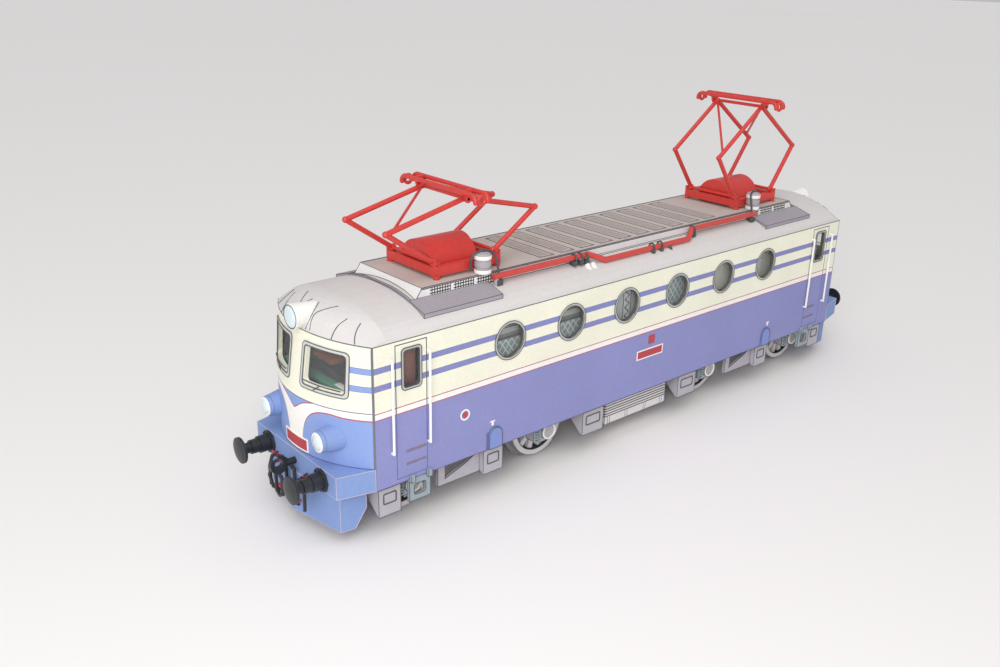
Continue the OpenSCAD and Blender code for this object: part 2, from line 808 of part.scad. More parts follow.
pantograph_lower(pantograph_places[0], arm_angles[0], front);  // front_pantograph_lower_front
pantograph_lower(pantograph_places[0], arm_angles[0], rear);  // front_pantograph_lower_rear
pantograph_upper(pantograph_places[0], arm_angles[0], front);  // front_pantograph_upper_front
pantograph_upper(pantograph_places[0], arm_angles[0], rear);  // front_pantograph_upper_rear
pantograph_head(pantograph_places[0], arm_angles[0]);  // front_pantograph_head
pantograph_base(pantograph_places[1]);  // rear_pantograph_base
pantograph_lower(pantograph_places[1], arm_angles[1], front);  // rear_pantograph_lower_front
pantograph_lower(pantograph_places[1], arm_angles[1], rear);  // rear_pantograph_lower_rear
pantograph_upper(pantograph_places[1], arm_angles[1], front);  // rear_pantograph_upper_front
pantograph_upper(pantograph_places[1], arm_angles[1], rear);  // rear_pantograph_upper_rear
pantograph_head(pantograph_places[1], arm_angles[1]);  // rear_pantograph_head
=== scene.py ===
import bpy
import bmesh
import math
from mathutils import Matrix, Vector


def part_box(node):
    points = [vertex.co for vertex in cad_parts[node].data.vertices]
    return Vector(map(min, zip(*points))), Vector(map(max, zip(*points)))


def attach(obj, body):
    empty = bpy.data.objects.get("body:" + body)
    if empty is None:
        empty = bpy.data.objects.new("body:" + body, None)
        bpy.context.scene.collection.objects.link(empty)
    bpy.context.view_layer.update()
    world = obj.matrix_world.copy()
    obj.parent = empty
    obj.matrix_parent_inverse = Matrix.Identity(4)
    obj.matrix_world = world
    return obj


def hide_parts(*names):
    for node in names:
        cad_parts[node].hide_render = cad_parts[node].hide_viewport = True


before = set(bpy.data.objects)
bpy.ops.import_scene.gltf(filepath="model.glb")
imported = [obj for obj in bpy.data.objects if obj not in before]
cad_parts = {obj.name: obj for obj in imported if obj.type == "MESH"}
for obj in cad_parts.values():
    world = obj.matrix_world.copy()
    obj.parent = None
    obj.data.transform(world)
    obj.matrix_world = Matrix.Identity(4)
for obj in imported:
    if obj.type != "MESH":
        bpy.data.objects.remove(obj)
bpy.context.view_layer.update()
print("frame loaded")

mm = 0.001
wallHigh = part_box("left_side_wall")[1] / mm
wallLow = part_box("left_side_wall")[0] / mm
corner = wallHigh.x      # where the cab fronts start
side = wallHigh.y        # outer face of the left wall
eave = wallHigh.z
skirt = wallLow.z
waist = 27.0             # the cab front leans back from here up
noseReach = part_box("front_end_wall")[1].x / mm - corner
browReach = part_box("roof")[1].x / mm - corner


def hexColour(code):
    parts = [int(code[i:i + 2], 16) / 255 for i in (1, 3, 5)]
    return tuple(c / 12.92 if c <= 0.04045 else ((c + 0.055) / 1.055) ** 2.4 for c in parts) + (1.0,)


def addNode(tree, kind, inputs=None, take=0, **settings):
    # hands back the output named by take, or the whole node when take is None
    node = tree.nodes.new("ShaderNode" + kind)
    for key, value in settings.items():
        setattr(node, key, value)
    for key, value in (inputs or {}).items():
        if isinstance(value, bpy.types.NodeSocket):
            tree.links.new(value, node.inputs[key])
        else:
            node.inputs[key].default_value = value
    return node if take is None else node.outputs[take]


def clearSelection():
    for other in list(bpy.context.selected_objects):
        other.select_set(False)


def takeUp(obj):
    clearSelection()
    obj.select_set(True)
    bpy.context.view_layer.objects.active = obj
    return obj


def settle(obj):
    takeUp(obj)
    bpy.ops.object.transform_apply(location=True, rotation=True, scale=True)
    return obj


def editAll():
    bpy.ops.object.mode_set(mode="EDIT")
    bpy.ops.mesh.select_all(action="SELECT")


def outOfEdit():
    bpy.ops.object.mode_set(mode="OBJECT")


def cutBlock(low, high, bevelWidth=0.12, segments=2):
    low, high = Vector(low), Vector(high)
    clearSelection()
    bpy.ops.mesh.primitive_cube_add(size=1, location=(low + high) / 2 * mm, scale=(high - low) * mm)
    obj = settle(bpy.context.active_object)
    editAll()
    bpy.ops.mesh.bevel(offset=bevelWidth * mm, segments=segments)
    outOfEdit()
    return obj


def turnRod(start, end, dia, endDia=None, sides=24, bevelWidth=0.1):
    start, end = Vector(start), Vector(end)
    clearSelection()
    bpy.ops.mesh.primitive_cone_add(vertices=sides, radius1=dia / 2 * mm,
        radius2=(dia if endDia is None else endDia) / 2 * mm, depth=(end - start).length * mm,
        location=(start + end) / 2 * mm, rotation=(end - start).to_track_quat("Z", "Y").to_euler())
    obj = settle(bpy.context.active_object)
    if bevelWidth:
        editAll()
        bpy.ops.mesh.select_all(action="DESELECT")
        bpy.ops.mesh.edges_select_sharp(sharpness=math.radians(50))
        bpy.ops.mesh.bevel(offset=bevelWidth * mm, segments=2)
        outOfEdit()
    return obj


def knob(place, dia, stretch=(1, 1, 1)):
    clearSelection()
    bpy.ops.mesh.primitive_uv_sphere_add(segments=16, ring_count=10, radius=dia / 2 * mm,
        location=Vector(place) * mm, scale=stretch)
    return settle(bpy.context.active_object)


def bendWire(points, dia, closed=False, rounded=True, soft=False, sides=3):
    line = bpy.data.curves.new("wire", "CURVE")
    line.dimensions = "3D"
    line.bevel_depth = dia / 2 * mm
    line.bevel_resolution = sides
    line.use_fill_caps = True
    line.resolution_u = 8
    spline = line.splines.new("BEZIER" if soft else "POLY")
    knots = spline.bezier_points if soft else spline.points
    knots.add(len(points) - 1)
    for knot, point in zip(knots, points):
        knot.co = Vector(point) * mm if soft else [c * mm for c in point] + [1.0]
        if soft:
            knot.handle_left_type = knot.handle_right_type = "AUTO"
    spline.use_cyclic_u = closed
    obj = bpy.data.objects.new("wire", line)
    bpy.context.scene.collection.objects.link(obj)
    takeUp(obj)
    bpy.ops.object.convert(target="MESH")
    obj = bpy.context.active_object
    if rounded and not closed:
        obj = joinUp([obj] + [knob(p, dia) for p in (points[0], points[-1])])
    return obj


def hoop(centre, radius, dia, facing, count=36, sides=1, squash=(1, 1)):
    # a ring of wire that faces along x or y
    x, y, z = centre
    ring = [(q * squash[0], r * squash[1]) for q, r in circleOutline(0, 0, radius, count)]
    points = [(x, y + q, z + r) if facing == "x" else (x + q, y, z + r) for q, r in ring]
    return bendWire(points, dia, closed=True, sides=sides)


def flatShape(outline, place, thickness, frameWidth=0.0):
    # outline is a list of 2D points, place turns (a, b, depth) into (x, y, z)
    clearSelection()
    bpy.ops.mesh.primitive_circle_add(vertices=len(outline), fill_type="NGON", radius=mm)
    obj = bpy.context.active_object
    for vertex, (a, b) in zip(obj.data.vertices, outline):
        vertex.co = Vector(place(a, b, 0)) * mm
    editAll()
    if frameWidth:
        bpy.ops.mesh.inset(thickness=frameWidth * mm, use_even_offset=True)
        bpy.ops.mesh.delete(type="FACE")
        bpy.ops.mesh.select_all(action="SELECT")
    step = (Vector(place(0, 0, thickness)) - Vector(place(0, 0, 0))) * mm
    bpy.ops.mesh.extrude_region_move(TRANSFORM_OT_translate={"value": step})
    bpy.ops.mesh.select_all(action="SELECT")
    bpy.ops.mesh.remove_doubles(threshold=1e-7)
    bpy.ops.mesh.normals_make_consistent(inside=False)
    outOfEdit()
    return obj


def roundedOutline(low, high, radius, steps=4):
    points = []
    for cx, cy, start in ((high[0] - radius, high[1] - radius, 0), (low[0] + radius, high[1] - radius, 90),
                          (low[0] + radius, low[1] + radius, 180), (high[0] - radius, low[1] + radius, 270)):
        for i in range(steps + 1):
            turn = math.radians(start + 90 * i / steps)
            points.append((cx + radius * math.cos(turn), cy + radius * math.sin(turn)))
    return points


def splitLong(outline, length):
    # more points along the straight edges, so that a shape can follow a curved wall
    points = []
    for i, a in enumerate(outline):
        b = outline[(i + 1) % len(outline)]
        count = max(1, int(math.hypot(b[0] - a[0], b[1] - a[1]) / length))
        points += [(a[0] + (b[0] - a[0]) * k / count, a[1] + (b[1] - a[1]) * k / count) for k in range(count)]
    return points


def circleOutline(a, b, radius, count=36):
    return [(a + radius * math.cos(2 * math.pi * i / count), b + radius * math.sin(2 * math.pi * i / count))
            for i in range(count)]


def frontFace(y, z):
    # x of the cab front's outer face at this y and z, in mm
    reach = noseReach if z < waist else noseReach + (browReach - noseReach) * (z - waist) / (eave - waist)
    radius = (side * side + reach * reach) / (2 * reach)
    return corner + reach - radius + math.sqrt(max(0.0, radius * radius - y * y))


def drapeOnFront(obj):
    for vertex in obj.data.vertices:
        x, y, z = vertex.co / mm
        vertex.co.x = (frontFace(y, z) + x) * mm
    return obj


def copyTurned(obj, scale):
    # a copy with its own mesh, mirrored through the planes given by scale
    twin = obj.copy()
    twin.data = obj.data.copy()
    bpy.context.scene.collection.objects.link(twin)
    twin.data.transform(Matrix.Diagonal((*scale, 1)))
    if scale[0] * scale[1] * scale[2] < 0:
        twin.data.flip_normals()
    return twin


def joinUp(parts):
    clearSelection()
    for part in parts:
        part.select_set(True)
    bpy.context.view_layer.objects.active = parts[0]
    bpy.ops.object.join()
    return bpy.context.active_object


def bothSides(obj):
    return joinUp([obj, copyTurned(obj, (1, -1, 1))])


def bothEnds(obj):
    return joinUp([obj, copyTurned(obj, (-1, 1, 1))])


def finishPiece(obj, name, material, body, angle=35, stands=()):
    settle(obj)
    obj.name = name
    obj.data.name = name
    obj.data.materials.clear()
    obj.data.materials.append(material)
    for polygon in obj.data.polygons:
        polygon.material_index = 0
    bpy.ops.object.shade_smooth_by_angle(angle=math.radians(angle))
    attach(obj, body)
    if stands:
        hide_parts(*stands)
    return obj


def finishEnds(obj, name, material, angle=35):
    # the same piece at each end, the rear one turned half round
    finishPiece(copyTurned(obj, (-1, -1, 1)), "rear_" + name, material, "body", angle)
    finishPiece(obj, "front_" + name, material, "body", angle)


def dress(nodeName, material):
    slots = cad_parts[nodeName].data.materials
    slots.clear()
    slots.append(material)


def inkEdges(nodes, width, angle=28, keep=None):
    # the printed outline along each fold of the card, from the part's own sharp edges
    rods = bmesh.new()
    for nodeName in nodes:
        shape = bmesh.new()
        shape.from_mesh(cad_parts[nodeName].data)
        bmesh.ops.remove_doubles(shape, verts=shape.verts, dist=2e-6)
        made = {}
        for edge in shape.edges:
            if len(edge.link_faces) != 2 or edge.calc_face_angle(0) < math.radians(angle):
                continue
            if keep and not keep(*[(v.co / mm) for v in edge.verts]):
                continue
            for v in edge.verts:
                if v.index not in made:
                    made[v.index] = rods.verts.new(v.co)
            rods.edges.new([made[v.index] for v in edge.verts])
        shape.free()
    mesh = bpy.data.meshes.new("ink")
    rods.to_mesh(mesh)
    rods.free()
    obj = bpy.data.objects.new("ink", mesh)
    bpy.context.scene.collection.objects.link(obj)
    takeUp(obj)
    bpy.ops.object.convert(target="CURVE")
    obj.data.bevel_depth = width / 2 * mm
    obj.data.bevel_resolution = 0
    bpy.ops.object.convert(target="MESH")
    return bpy.context.active_object


def startMaterial(name, roughness, ior=1.5, metallic=0.0, coat=0.0):
    material = bpy.data.materials.new(name)
    material.use_nodes = True
    tree = material.node_tree
    shader = tree.nodes["Principled BSDF"]
    shader.inputs["Roughness"].default_value = roughness
    shader.inputs["Metallic"].default_value = metallic
    if not metallic:
        shader.inputs["IOR"].default_value = ior
    shader.inputs["Coat Weight"].default_value = coat
    return material, tree, shader


def millimetres(tree, place=(0, 0, 0)):
    # Object coordinates in mm, with the pattern's own zero at place
    coords = addNode(tree, "TexCoord", take="Object")
    scaled = addNode(tree, "VectorMath", {0: coords, "Scale": 1000.0}, operation="SCALE")
    return addNode(tree, "Mapping", {"Vector": scaled, "Location": [-c for c in place]})


def startPrint(name, roughness, place=(0, 0, 0)):
    # a printed sheet: its coordinates in mm, each axis alone, and the distances from the middle, farX and farY
    material, tree, shader = startMaterial(name, roughness)
    coords = millimetres(tree, place)
    at = dict(zip("xyz", addNode(tree, "SeparateXYZ", {0: coords}, take=None).outputs))
    at["farX"] = addNode(tree, "Math", {0: at["x"]}, operation="ABSOLUTE")
    at["farY"] = addNode(tree, "Math", {0: at["y"]}, operation="ABSOLUTE")
    return material, tree, shader, coords, at


def bandOf(value, low, high):
    # 1 where value lies between low and high, in the tree that value belongs to
    return addNode(value.id_data, "Math", {0: value, 1: (low + high) / 2, 2: (high - low) / 2},
                   operation="COMPARE")


def whereAll(*masks):
    result = masks[0]
    for mask in masks[1:]:
        result = addNode(mask.id_data, "Math", {0: result, 1: mask}, operation="MULTIPLY")
    return result


def butNot(mask, other):
    return addNode(mask.id_data, "Math", {0: mask, 1: other}, operation="SUBTRACT", use_clamp=True)


def repeatOf(value, pitch, shift):
    # runs from 0 to 1 along each step of a pattern that repeats every pitch mm
    tree = value.id_data
    steps = addNode(tree, "Math", {0: value, 1: 1 / pitch, 2: shift}, operation="MULTIPLY_ADD")
    return addNode(tree, "Math", {0: steps}, operation="FRACT")


def printLayers(tree, base, layers):
    # printing inks laid one over another
    result = base
    for mask, colour in layers:
        over = hexColour(colour) if isinstance(colour, str) else colour
        result = addNode(tree, "Mix", {0: mask, 6: result, 7: over}, data_type="RGBA", take=2)
    return result


def paperSurface(tree, shader, colour, coords, mottle=0.05, grain=0.06, mottleScale=0.9):
    # printer's mottling a few tenths of a mm wide, over soft clouds, and the tooth of the paper as bump
    fine = addNode(tree, "TexNoise", {"Vector": coords, "Scale": mottleScale, "Detail": 4.0, "Roughness": 0.7})
    cloud = addNode(tree, "TexNoise", {"Vector": coords, "Scale": 0.07, "Detail": 2.0})
    total = addNode(tree, "Math", {0: fine, 1: cloud}, operation="ADD")
    shift = addNode(tree, "MapRange", {0: total, 1: 0.6, 2: 1.4, 3: 1 - mottle, 4: 1 + mottle})
    inked = addNode(tree, "VectorMath", {0: colour, "Scale": shift}, operation="SCALE")
    tree.links.new(inked, shader.inputs["Base Color"])
    tooth = addNode(tree, "TexNoise", {"Vector": coords, "Scale": 5.0, "Detail": 3.0})
    bump = addNode(tree, "Bump", {"Height": tooth, "Distance": grain * mm, "Strength": 0.5})
    tree.links.new(bump, shader.inputs["Normal"])


def plainPaper(name, code, roughness=0.75, mottle=0.05):
    # printed 160 g paper over card: matt, slightly uneven ink, white fibres in the tooth
    material, tree, shader = startMaterial(name, roughness)
    coords = millimetres(tree)
    speck = addNode(tree, "TexNoise", {"Vector": coords, "Scale": 2.2, "Detail": 5.0})
    light = addNode(tree, "MapRange", {0: speck, 1: 0.55, 2: 0.8, 3: 0.0, 4: 0.22})
    paler = tuple(min(1.0, c * 1.35 + 0.03) for c in hexColour(code)[:3]) + (1.0,)
    inked = printLayers(tree, hexColour(code), [(light, paler)])
    paperSurface(tree, shader, inked, coords, mottle)
    return material


def inkNoise(tree, coords, colour, amount):
    # drops of cyan and magenta ink that show between the blue ones
    result = colour
    for scale, offset, tint in ((1.9, 0.0, "#6F9BE0"), (2.6, 40.0, "#C08AB0")):
        moved = addNode(tree, "Mapping", {"Vector": coords, "Location": (offset, offset, 0.0)})
        drops = addNode(tree, "TexNoise", {"Vector": moved, "Scale": scale, "Detail": 5.0, "Roughness": 0.75})
        mask = addNode(tree, "MapRange", {0: drops, 1: 0.48, 2: 0.8, 3: 0.0, 4: amount})
        dark = addNode(tree, "SeparateColor", {0: result}, mode="HSV", take=1)
        deep = addNode(tree, "Math", {0: dark, 1: 0.2}, operation="GREATER_THAN")  # blue ink only
        share = addNode(tree, "Math", {0: mask, 1: deep}, operation="MULTIPLY")
        result = printLayers(tree, result, [(share, tint)])
    return result


livery = {
    "cream": "#EFEEDA", "blue": "#888DC0", "frontBlue": "#86A0D6", "stripe": "#7F86BC", "white": "#F4F1EC",
    "redLine": "#B4555F", "ink": "#55555C", "stripeEdge": "#666C96", "eaveLine": "#8A8A8C",
    "stripes": ((31.8, 32.85), (35.3, 36.35)), "whiteBand": (26.0, 27.3),
    "frontWaist": 27.5, "frontStripesFrom": 13.0, "tapMark": 47.25,
    "door": (63.7, 71.0, 12.2, 39.9), "slots": ((64.0, 68.8, 17.3, 18.0), (64.0, 68.8, 14.6, 15.2)),
    # the whiskers' lower and upper edges: distance from the middle, height
    "whiskerLow": ((0, 14.2), (1.9, 15.5), (2.5, 19.8), (3.3, 22.6), (4.4, 24.3), (6.2, 25.6), (8.8, 26.25),
                   (12.3, 26.05), (17.05, 26.0)),
    "whiskerHigh": ((0, 24.9), (0.9, 25.4), (2.4, 26.4), (4.2, 27.1), (6.1, 27.5), (17.05, 27.5)),
    "curveBase": 10, "curveSpan": 20,  # heights in mm that the curve node's 0 to 1 stand for
}


def liverySides():
    # the side sheets: matt inkjet print, cream over blue, with every line printed
    material, tree, shader, coords, at = startPrint("printedPaperSides", 0.72)
    z, away, depth = at["z"], at["farX"], at["farY"]
    low, high = livery["whiteBand"]
    layers = [(bandOf(z, 0, low), livery["blue"]), (bandOf(z, low, high), livery["white"]),
              (bandOf(z, low - 0.12, low + 0.12), livery["redLine"]),
              (bandOf(z, high - 0.08, high + 0.12), livery["redLine"])]
    for a, b in livery["stripes"]:
        layers += [(bandOf(z, a - 0.08, b + 0.08), livery["stripeEdge"]),
                   (bandOf(z, a, b), livery["stripe"])]
    left, right, base, top = livery["door"]
    outer = whereAll(bandOf(away, left, right), bandOf(z, base, top))
    inner = whereAll(bandOf(away, left + 0.22, right - 0.22), bandOf(z, base + 0.2, top - 0.22))
    rim = butNot(outer, inner)
    layers += [(whereAll(rim, bandOf(z, low, 50)), livery["ink"]),
               (whereAll(rim, bandOf(z, 0, low)), "#5F639A")]
    for a, b, c, d in livery["slots"]:
        layers.append((whereAll(bandOf(away, a, b), bandOf(z, c, d)), "#77707F"))
    layers += [(bandOf(away, corner - 0.2, corner + 1), "#74767E"),
               (bandOf(z, eave - 0.16, eave + 1), livery["eaveLine"]),
               (bandOf(z, skirt - 1, skirt + 0.14), "#595D8E")]
    # white tap marks above the pivot covers
    tap = livery["tapMark"]
    layers += [(whereAll(bandOf(away, tap - 0.3, tap + 0.3), bandOf(z, 16.5, 17.3)), livery["white"]),
               (whereAll(bandOf(away, tap - 0.65, tap + 0.65), bandOf(z, 17.3, 17.6)), livery["white"]),
               (whereAll(bandOf(away, 45.2, 48.9), bandOf(z, 10, 15.3)), "#656CA8")]
    # unprinted grey board where the openings are cut through
    layers.append((bandOf(depth, 0, side - 0.08), "#5E5C58"))
    colour = printLayers(tree, hexColour(livery["cream"]), layers)
    colour = inkNoise(tree, coords, colour, 0.6)
    paperSurface(tree, shader, colour, coords, 0.07, mottleScale=1.8)
    return material


def liveryFront():
    # the cab fronts: the same print with the white whiskers running down to the number plate
    material, tree, shader, coords, at = startPrint("printedPaperFronts", 0.7)
    z, away = at["z"], at["farY"]
    span, waistLine = side + 0.1, livery["frontWaist"]
    base, rise = livery["curveBase"], livery["curveSpan"]
    share = addNode(tree, "Math", {0: away, 1: span}, operation="DIVIDE")
    heights = []
    for points in (livery["whiskerLow"], livery["whiskerHigh"]):
        node = addNode(tree, "FloatCurve", {"Factor": 1.0, "Value": share}, take=None)
        curve = node.mapping.curves[0]
        while len(curve.points) > 2:
            curve.points.remove(curve.points[1])
        curve.points[0].location = (0, (points[0][1] - base) / rise)
        curve.points[-1].location = (1, (points[-1][1] - base) / rise)
        for a, b in points[1:-1]:
            curve.points.new(a / span, (b - base) / rise)
        node.mapping.update()
        edge = addNode(tree, "Math", {0: node.outputs[0], 1: float(rise), 2: float(base)}, operation="MULTIPLY_ADD")
        heights.append(addNode(tree, "Math", {0: z, 1: edge}, operation="SUBTRACT"))
    aboveLow = addNode(tree, "Math", {0: heights[0], 1: 0.0}, operation="GREATER_THAN")
    belowHigh = addNode(tree, "Math", {0: heights[1], 1: 0.0}, operation="LESS_THAN")
    whiskers = whereAll(aboveLow, belowHigh, bandOf(z, 15, waistLine))
    layers = [(bandOf(z, 0, waistLine), livery["frontBlue"]), (whiskers, livery["white"]),
              (whereAll(bandOf(heights[0], -0.14, 0.14), bandOf(away, 2.2, 18)), livery["redLine"]),
              (whereAll(bandOf(heights[1], -0.12, 0.12), bandOf(away, 0, 5.8)), livery["redLine"]),
              (bandOf(z, waistLine - 0.08, waistLine + 0.12), "#6E7080")]
    outer = bandOf(away, livery["frontStripesFrom"], 18)
    for a, b in livery["stripes"]:
        layers += [(whereAll(outer, bandOf(z, a - 0.08, b + 0.08)), livery["stripeEdge"]),
                   (whereAll(outer, bandOf(z, a, b)), livery["frontBlue"])]
    layers += [(bandOf(away, side - 0.24, side + 1), "#6E7078"),
               (bandOf(z, 15, 16.22), "#5C6296"),
               (bandOf(z, eave - 0.16, eave + 1), livery["eaveLine"])]
    colour = printLayers(tree, hexColour(livery["cream"]), layers)
    colour = inkNoise(tree, coords, colour, 0.35)
    paperSurface(tree, shader, colour, coords, 0.06, mottleScale=1.4)
    return material


hatchPrint = {"first": 28.3, "pitch": 6.09, "panels": 10, "across": 9.2, "grillePitch": 0.64}


def hatchPaper():
    # roof box: warm grey print with louvre panels on top and a black and white grille along the sides
    material, tree, shader, coords, at = startPrint("printedPaperRoofBox", 0.78)
    x, z, long, wide = at["x"], at["z"], at["farX"], at["farY"]
    onTop = bandOf(z, 46.86, 48)
    start, pitch = hatchPrint["first"], hatchPrint["pitch"]
    place = repeatOf(x, -pitch, start / pitch + 20)
    inRun = bandOf(x, start - pitch * hatchPrint["panels"], start)
    across = hatchPrint["across"]
    panel = whereAll(onTop, inRun, bandOf(wide, 0, across), bandOf(place, 0.0, 0.69))
    core = whereAll(onTop, inRun, bandOf(wide, 0, across - 0.35), bandOf(place, 0.06, 0.64))
    layers = [(bandOf(long, 60.12, 63), "#E3E1DF"), (panel, "#2E2C30"), (core, "#C6BAB3")]
    for a in (0.16, 0.25, 0.34, 0.43, 0.52):
        slat = whereAll(core, bandOf(place, a - 0.018, a + 0.018), bandOf(wide, 0, across - 0.9))
        layers.append((slat, "#74696A"))
    # screw heads in the corners of each panel
    for a in (0.13, 0.55):
        screw = whereAll(core, bandOf(place, a - 0.025, a + 0.025), bandOf(wide, across - 0.75, across - 0.45))
        layers.append((screw, "#5D5A5E"))
    layers += [(whereAll(onTop, bandOf(wide, 10.2, 10.32)), "#6C686C"),
               (whereAll(onTop, bandOf(wide, 10.42, 11)), "#4A484C")]
    # the box's sides: a grille between posts, then a plain stretch
    grille = hatchPrint["grillePitch"]
    columns, lines = repeatOf(x, grille, 200.0), repeatOf(z, grille, 200.1)
    onSide = whereAll(bandOf(wide, 10.55, 11), bandOf(z, 43, 46.84))
    run = whereAll(onSide, bandOf(long, 41.2, 58.6), bandOf(z, 43.9, 46.55))
    layers += [(onSide, "#E6E6E6"),
               (run, "#E9E8E4")]
    bars = addNode(tree, "Math", {0: bandOf(columns, 0.0, 0.36), 1: bandOf(lines, 0.0, 0.36)}, operation="MAXIMUM")
    layers.append((whereAll(run, bars), "#2F2F33"))
    for post in (41.2, 47.0, 52.8, 58.6):
        layers.append((whereAll(onSide, bandOf(long, post - 0.35, post + 0.35)), "#EFEDEA"))
    layers += [(whereAll(onSide, bandOf(z, 46.55, 46.75)), "#3C3B40"),
               (whereAll(onSide, bandOf(long, 0, 41), bandOf(z, 45.0, 45.15)), "#6C686C")]
    # painted shadow: a faint brown noise patch near the first panels, where the front pantograph's arm casts its
    # shadow
    armShadowNoise = addNode(tree, "TexNoise", {"Vector": coords, "Scale": 0.35, "Detail": 3.0, "Distortion": 1.5})
    armShadowPatch = addNode(tree, "MapRange", {0: armShadowNoise, 1: 0.5, 2: 0.75, 3: 0.0, 4: 0.55})
    layers.append((whereAll(onTop, armShadowPatch, bandOf(x, 18, 31), bandOf(wide, 0, 10)), "#A98A72"))
    colour = printLayers(tree, hexColour("#C2B7B1"), layers)
    paperSurface(tree, shader, colour, coords, 0.05)
    return material


def batteryPaper():
    material, tree, shader, coords, at = startPrint("printedPaperBatteryBox", 0.75)
    z, away = at["z"], at["farX"]
    layers = []
    for level in (6.2, 6.8, 7.5, 8.1, 8.8, 9.4, 10.1, 10.7):
        layers.append((bandOf(z, level - 0.13, level + 0.13), "#3E3D42"))
    for post in (3.2, 9.2):
        for offset in (-0.35, 0.35):
            line = bandOf(away, post + offset - 0.07, post + offset + 0.07)
            layers.append((whereAll(line, bandOf(z, 4.3, 6.0)), "#5A595E"))
    colour = printLayers(tree, hexColour("#DCD8D8"), layers)
    paperSurface(tree, shader, colour, coords, 0.05)
    return material


def wheelPaper(name, centre):
    # laser-cut card wheel: pale rim and spokes, one dark printed ring inside the tyre
    material, tree, shader, coords, at = startPrint(name, 0.7, centre)
    flat = addNode(tree, "CombineXYZ", {0: at["x"], 2: at["z"]})
    radius = addNode(tree, "VectorMath", {0: flat}, operation="LENGTH", take="Value")
    layers = [(bandOf(radius, 5.75, 6.05), "#3A393D"), (bandOf(radius, 1.9, 2.15), "#4A494D"),
              (bandOf(radius, 7.15, 9), "#8C8A90"), (bandOf(radius, 0, 0.5), "#55545A")]
    colour = printLayers(tree, hexColour("#DAD7D8"), layers)
    paperSurface(tree, shader, colour, coords, 0.07)
    return material


screenPrint = {"shelves": (43.0, 25.8), "pillar": 6.2, "grille": -8.6, "plain": -25.8, "locker": -43.0, "sill": 33.0}


def screenPaper():
    # machine room sheets seen through the portholes: grilles under a shelf, a pillar and plain panels
    material, tree, shader, coords, at = startPrint("printedPaperMachineRoom", 0.8)
    x, z = at["x"], at["z"]
    slants = []
    for sign in (1.0, -1.0):
        mixed = addNode(tree, "Math", {0: x, 1: 1.3 * sign, 2: z}, operation="MULTIPLY_ADD")
        slants.append(bandOf(repeatOf(mixed, 2.1, 100.0), 0.0, 0.22))
    diamonds = addNode(tree, "Math", {0: slants[0], 1: slants[1]}, operation="MAXIMUM")
    sill = screenPrint["sill"]
    layers = []
    for place in screenPrint["shelves"] + (screenPrint["grille"],):
        high = sill if place != screenPrint["grille"] else 42
        here = whereAll(bandOf(x, place - 8, place + 6), bandOf(z, 19, high))
        layers += [(here, "#A9C0C0"), (whereAll(here, diamonds), "#FBFDFB")]
    for place in screenPrint["shelves"]:
        here = bandOf(x, place - 8, place + 6)
        layers += [(whereAll(here, bandOf(z, sill, 42)), "#8B8880"),
                   (whereAll(here, bandOf(z, sill + 1.2, sill + 2.3)), "#D9DAD4"),
                   (whereAll(here, bandOf(z, sill - 0.1, sill + 0.5)), "#5D564C")]
    pillar = screenPrint["pillar"]
    layers += [(bandOf(x, pillar - 8, pillar + 6), "#E2E6E0"), (bandOf(x, pillar - 2.6, pillar - 0.2), "#FCFDFB"),
               (bandOf(x, pillar - 2.75, pillar - 2.5), "#303034"),
               (bandOf(x, pillar - 0.3, pillar - 0.05), "#303034"),
               (bandOf(x, pillar - 4.4, pillar - 4.1), "#4A4A4E")]
    turns = addNode(tree, "Math", {0: z, 1: 3.2}, operation="MULTIPLY")
    wave = addNode(tree, "Math", {0: turns}, operation="SINE")
    zigzag = addNode(tree, "Math", {0: wave, 1: -0.55, 2: x}, operation="MULTIPLY_ADD")
    layers += [(bandOf(zigzag, pillar - 1.6, pillar - 1.2), "#303034"),
               (bandOf(x, screenPrint["plain"] - 8, screenPrint["plain"] + 6), "#F5F7E6")]
    locker = screenPrint["locker"]
    layers += [(bandOf(x, locker - 12, locker + 6), "#DEE4CC"), (bandOf(x, locker - 1.2, locker + 1.3), "#E0A060"),
               (bandOf(x, locker - 2.9, locker - 1.2), "#FAFAF2")]
    colour = printLayers(tree, hexColour("#A5A39C"), layers)
    paperSurface(tree, shader, colour, coords, 0.06)
    return material


def brushPaint(name, code, roughness, coat=0.0, bumpHeight=0.05):
    # modeller's enamel brushed over styrene and wire: satin, with faint ridges and thin spots
    material, tree, shader = startMaterial(name, roughness, 1.48, coat=coat)
    coords = millimetres(tree)
    noise = addNode(tree, "TexNoise", {"Vector": coords, "Scale": 0.8, "Detail": 4.0})
    shift = addNode(tree, "MapRange", {0: noise, 1: 0.35, 2: 0.7, 3: 0.94, 4: 1.05})
    base = hexColour(code)[:3]
    inked = addNode(tree, "VectorMath", {0: base, "Scale": shift}, operation="SCALE")
    tree.links.new(inked, shader.inputs["Base Color"])
    ridges = addNode(tree, "TexNoise", {"Vector": coords, "Scale": 2.6, "Detail": 5.0})
    bump = addNode(tree, "Bump", {"Height": ridges, "Distance": bumpHeight * mm, "Strength": 0.6})
    tree.links.new(bump, shader.inputs["Normal"])
    return material


def clearSheet(name, code, alpha):
    # acetate window film: glossy, almost clear, a little grey
    material, tree, shader = startMaterial(name, 0.08, 1.47)
    coords = millimetres(tree)
    noise = addNode(tree, "TexNoise", {"Vector": coords, "Scale": 0.4, "Detail": 2.0})
    colour = printLayers(tree, hexColour(code), [(noise, "#C9D4D8")])
    tree.links.new(colour, shader.inputs["Base Color"])
    ripple = addNode(tree, "Bump", {"Height": noise, "Distance": 0.03 * mm, "Strength": 0.3})
    tree.links.new(ripple, shader.inputs["Normal"])
    shader.inputs["Alpha"].default_value = alpha
    return material


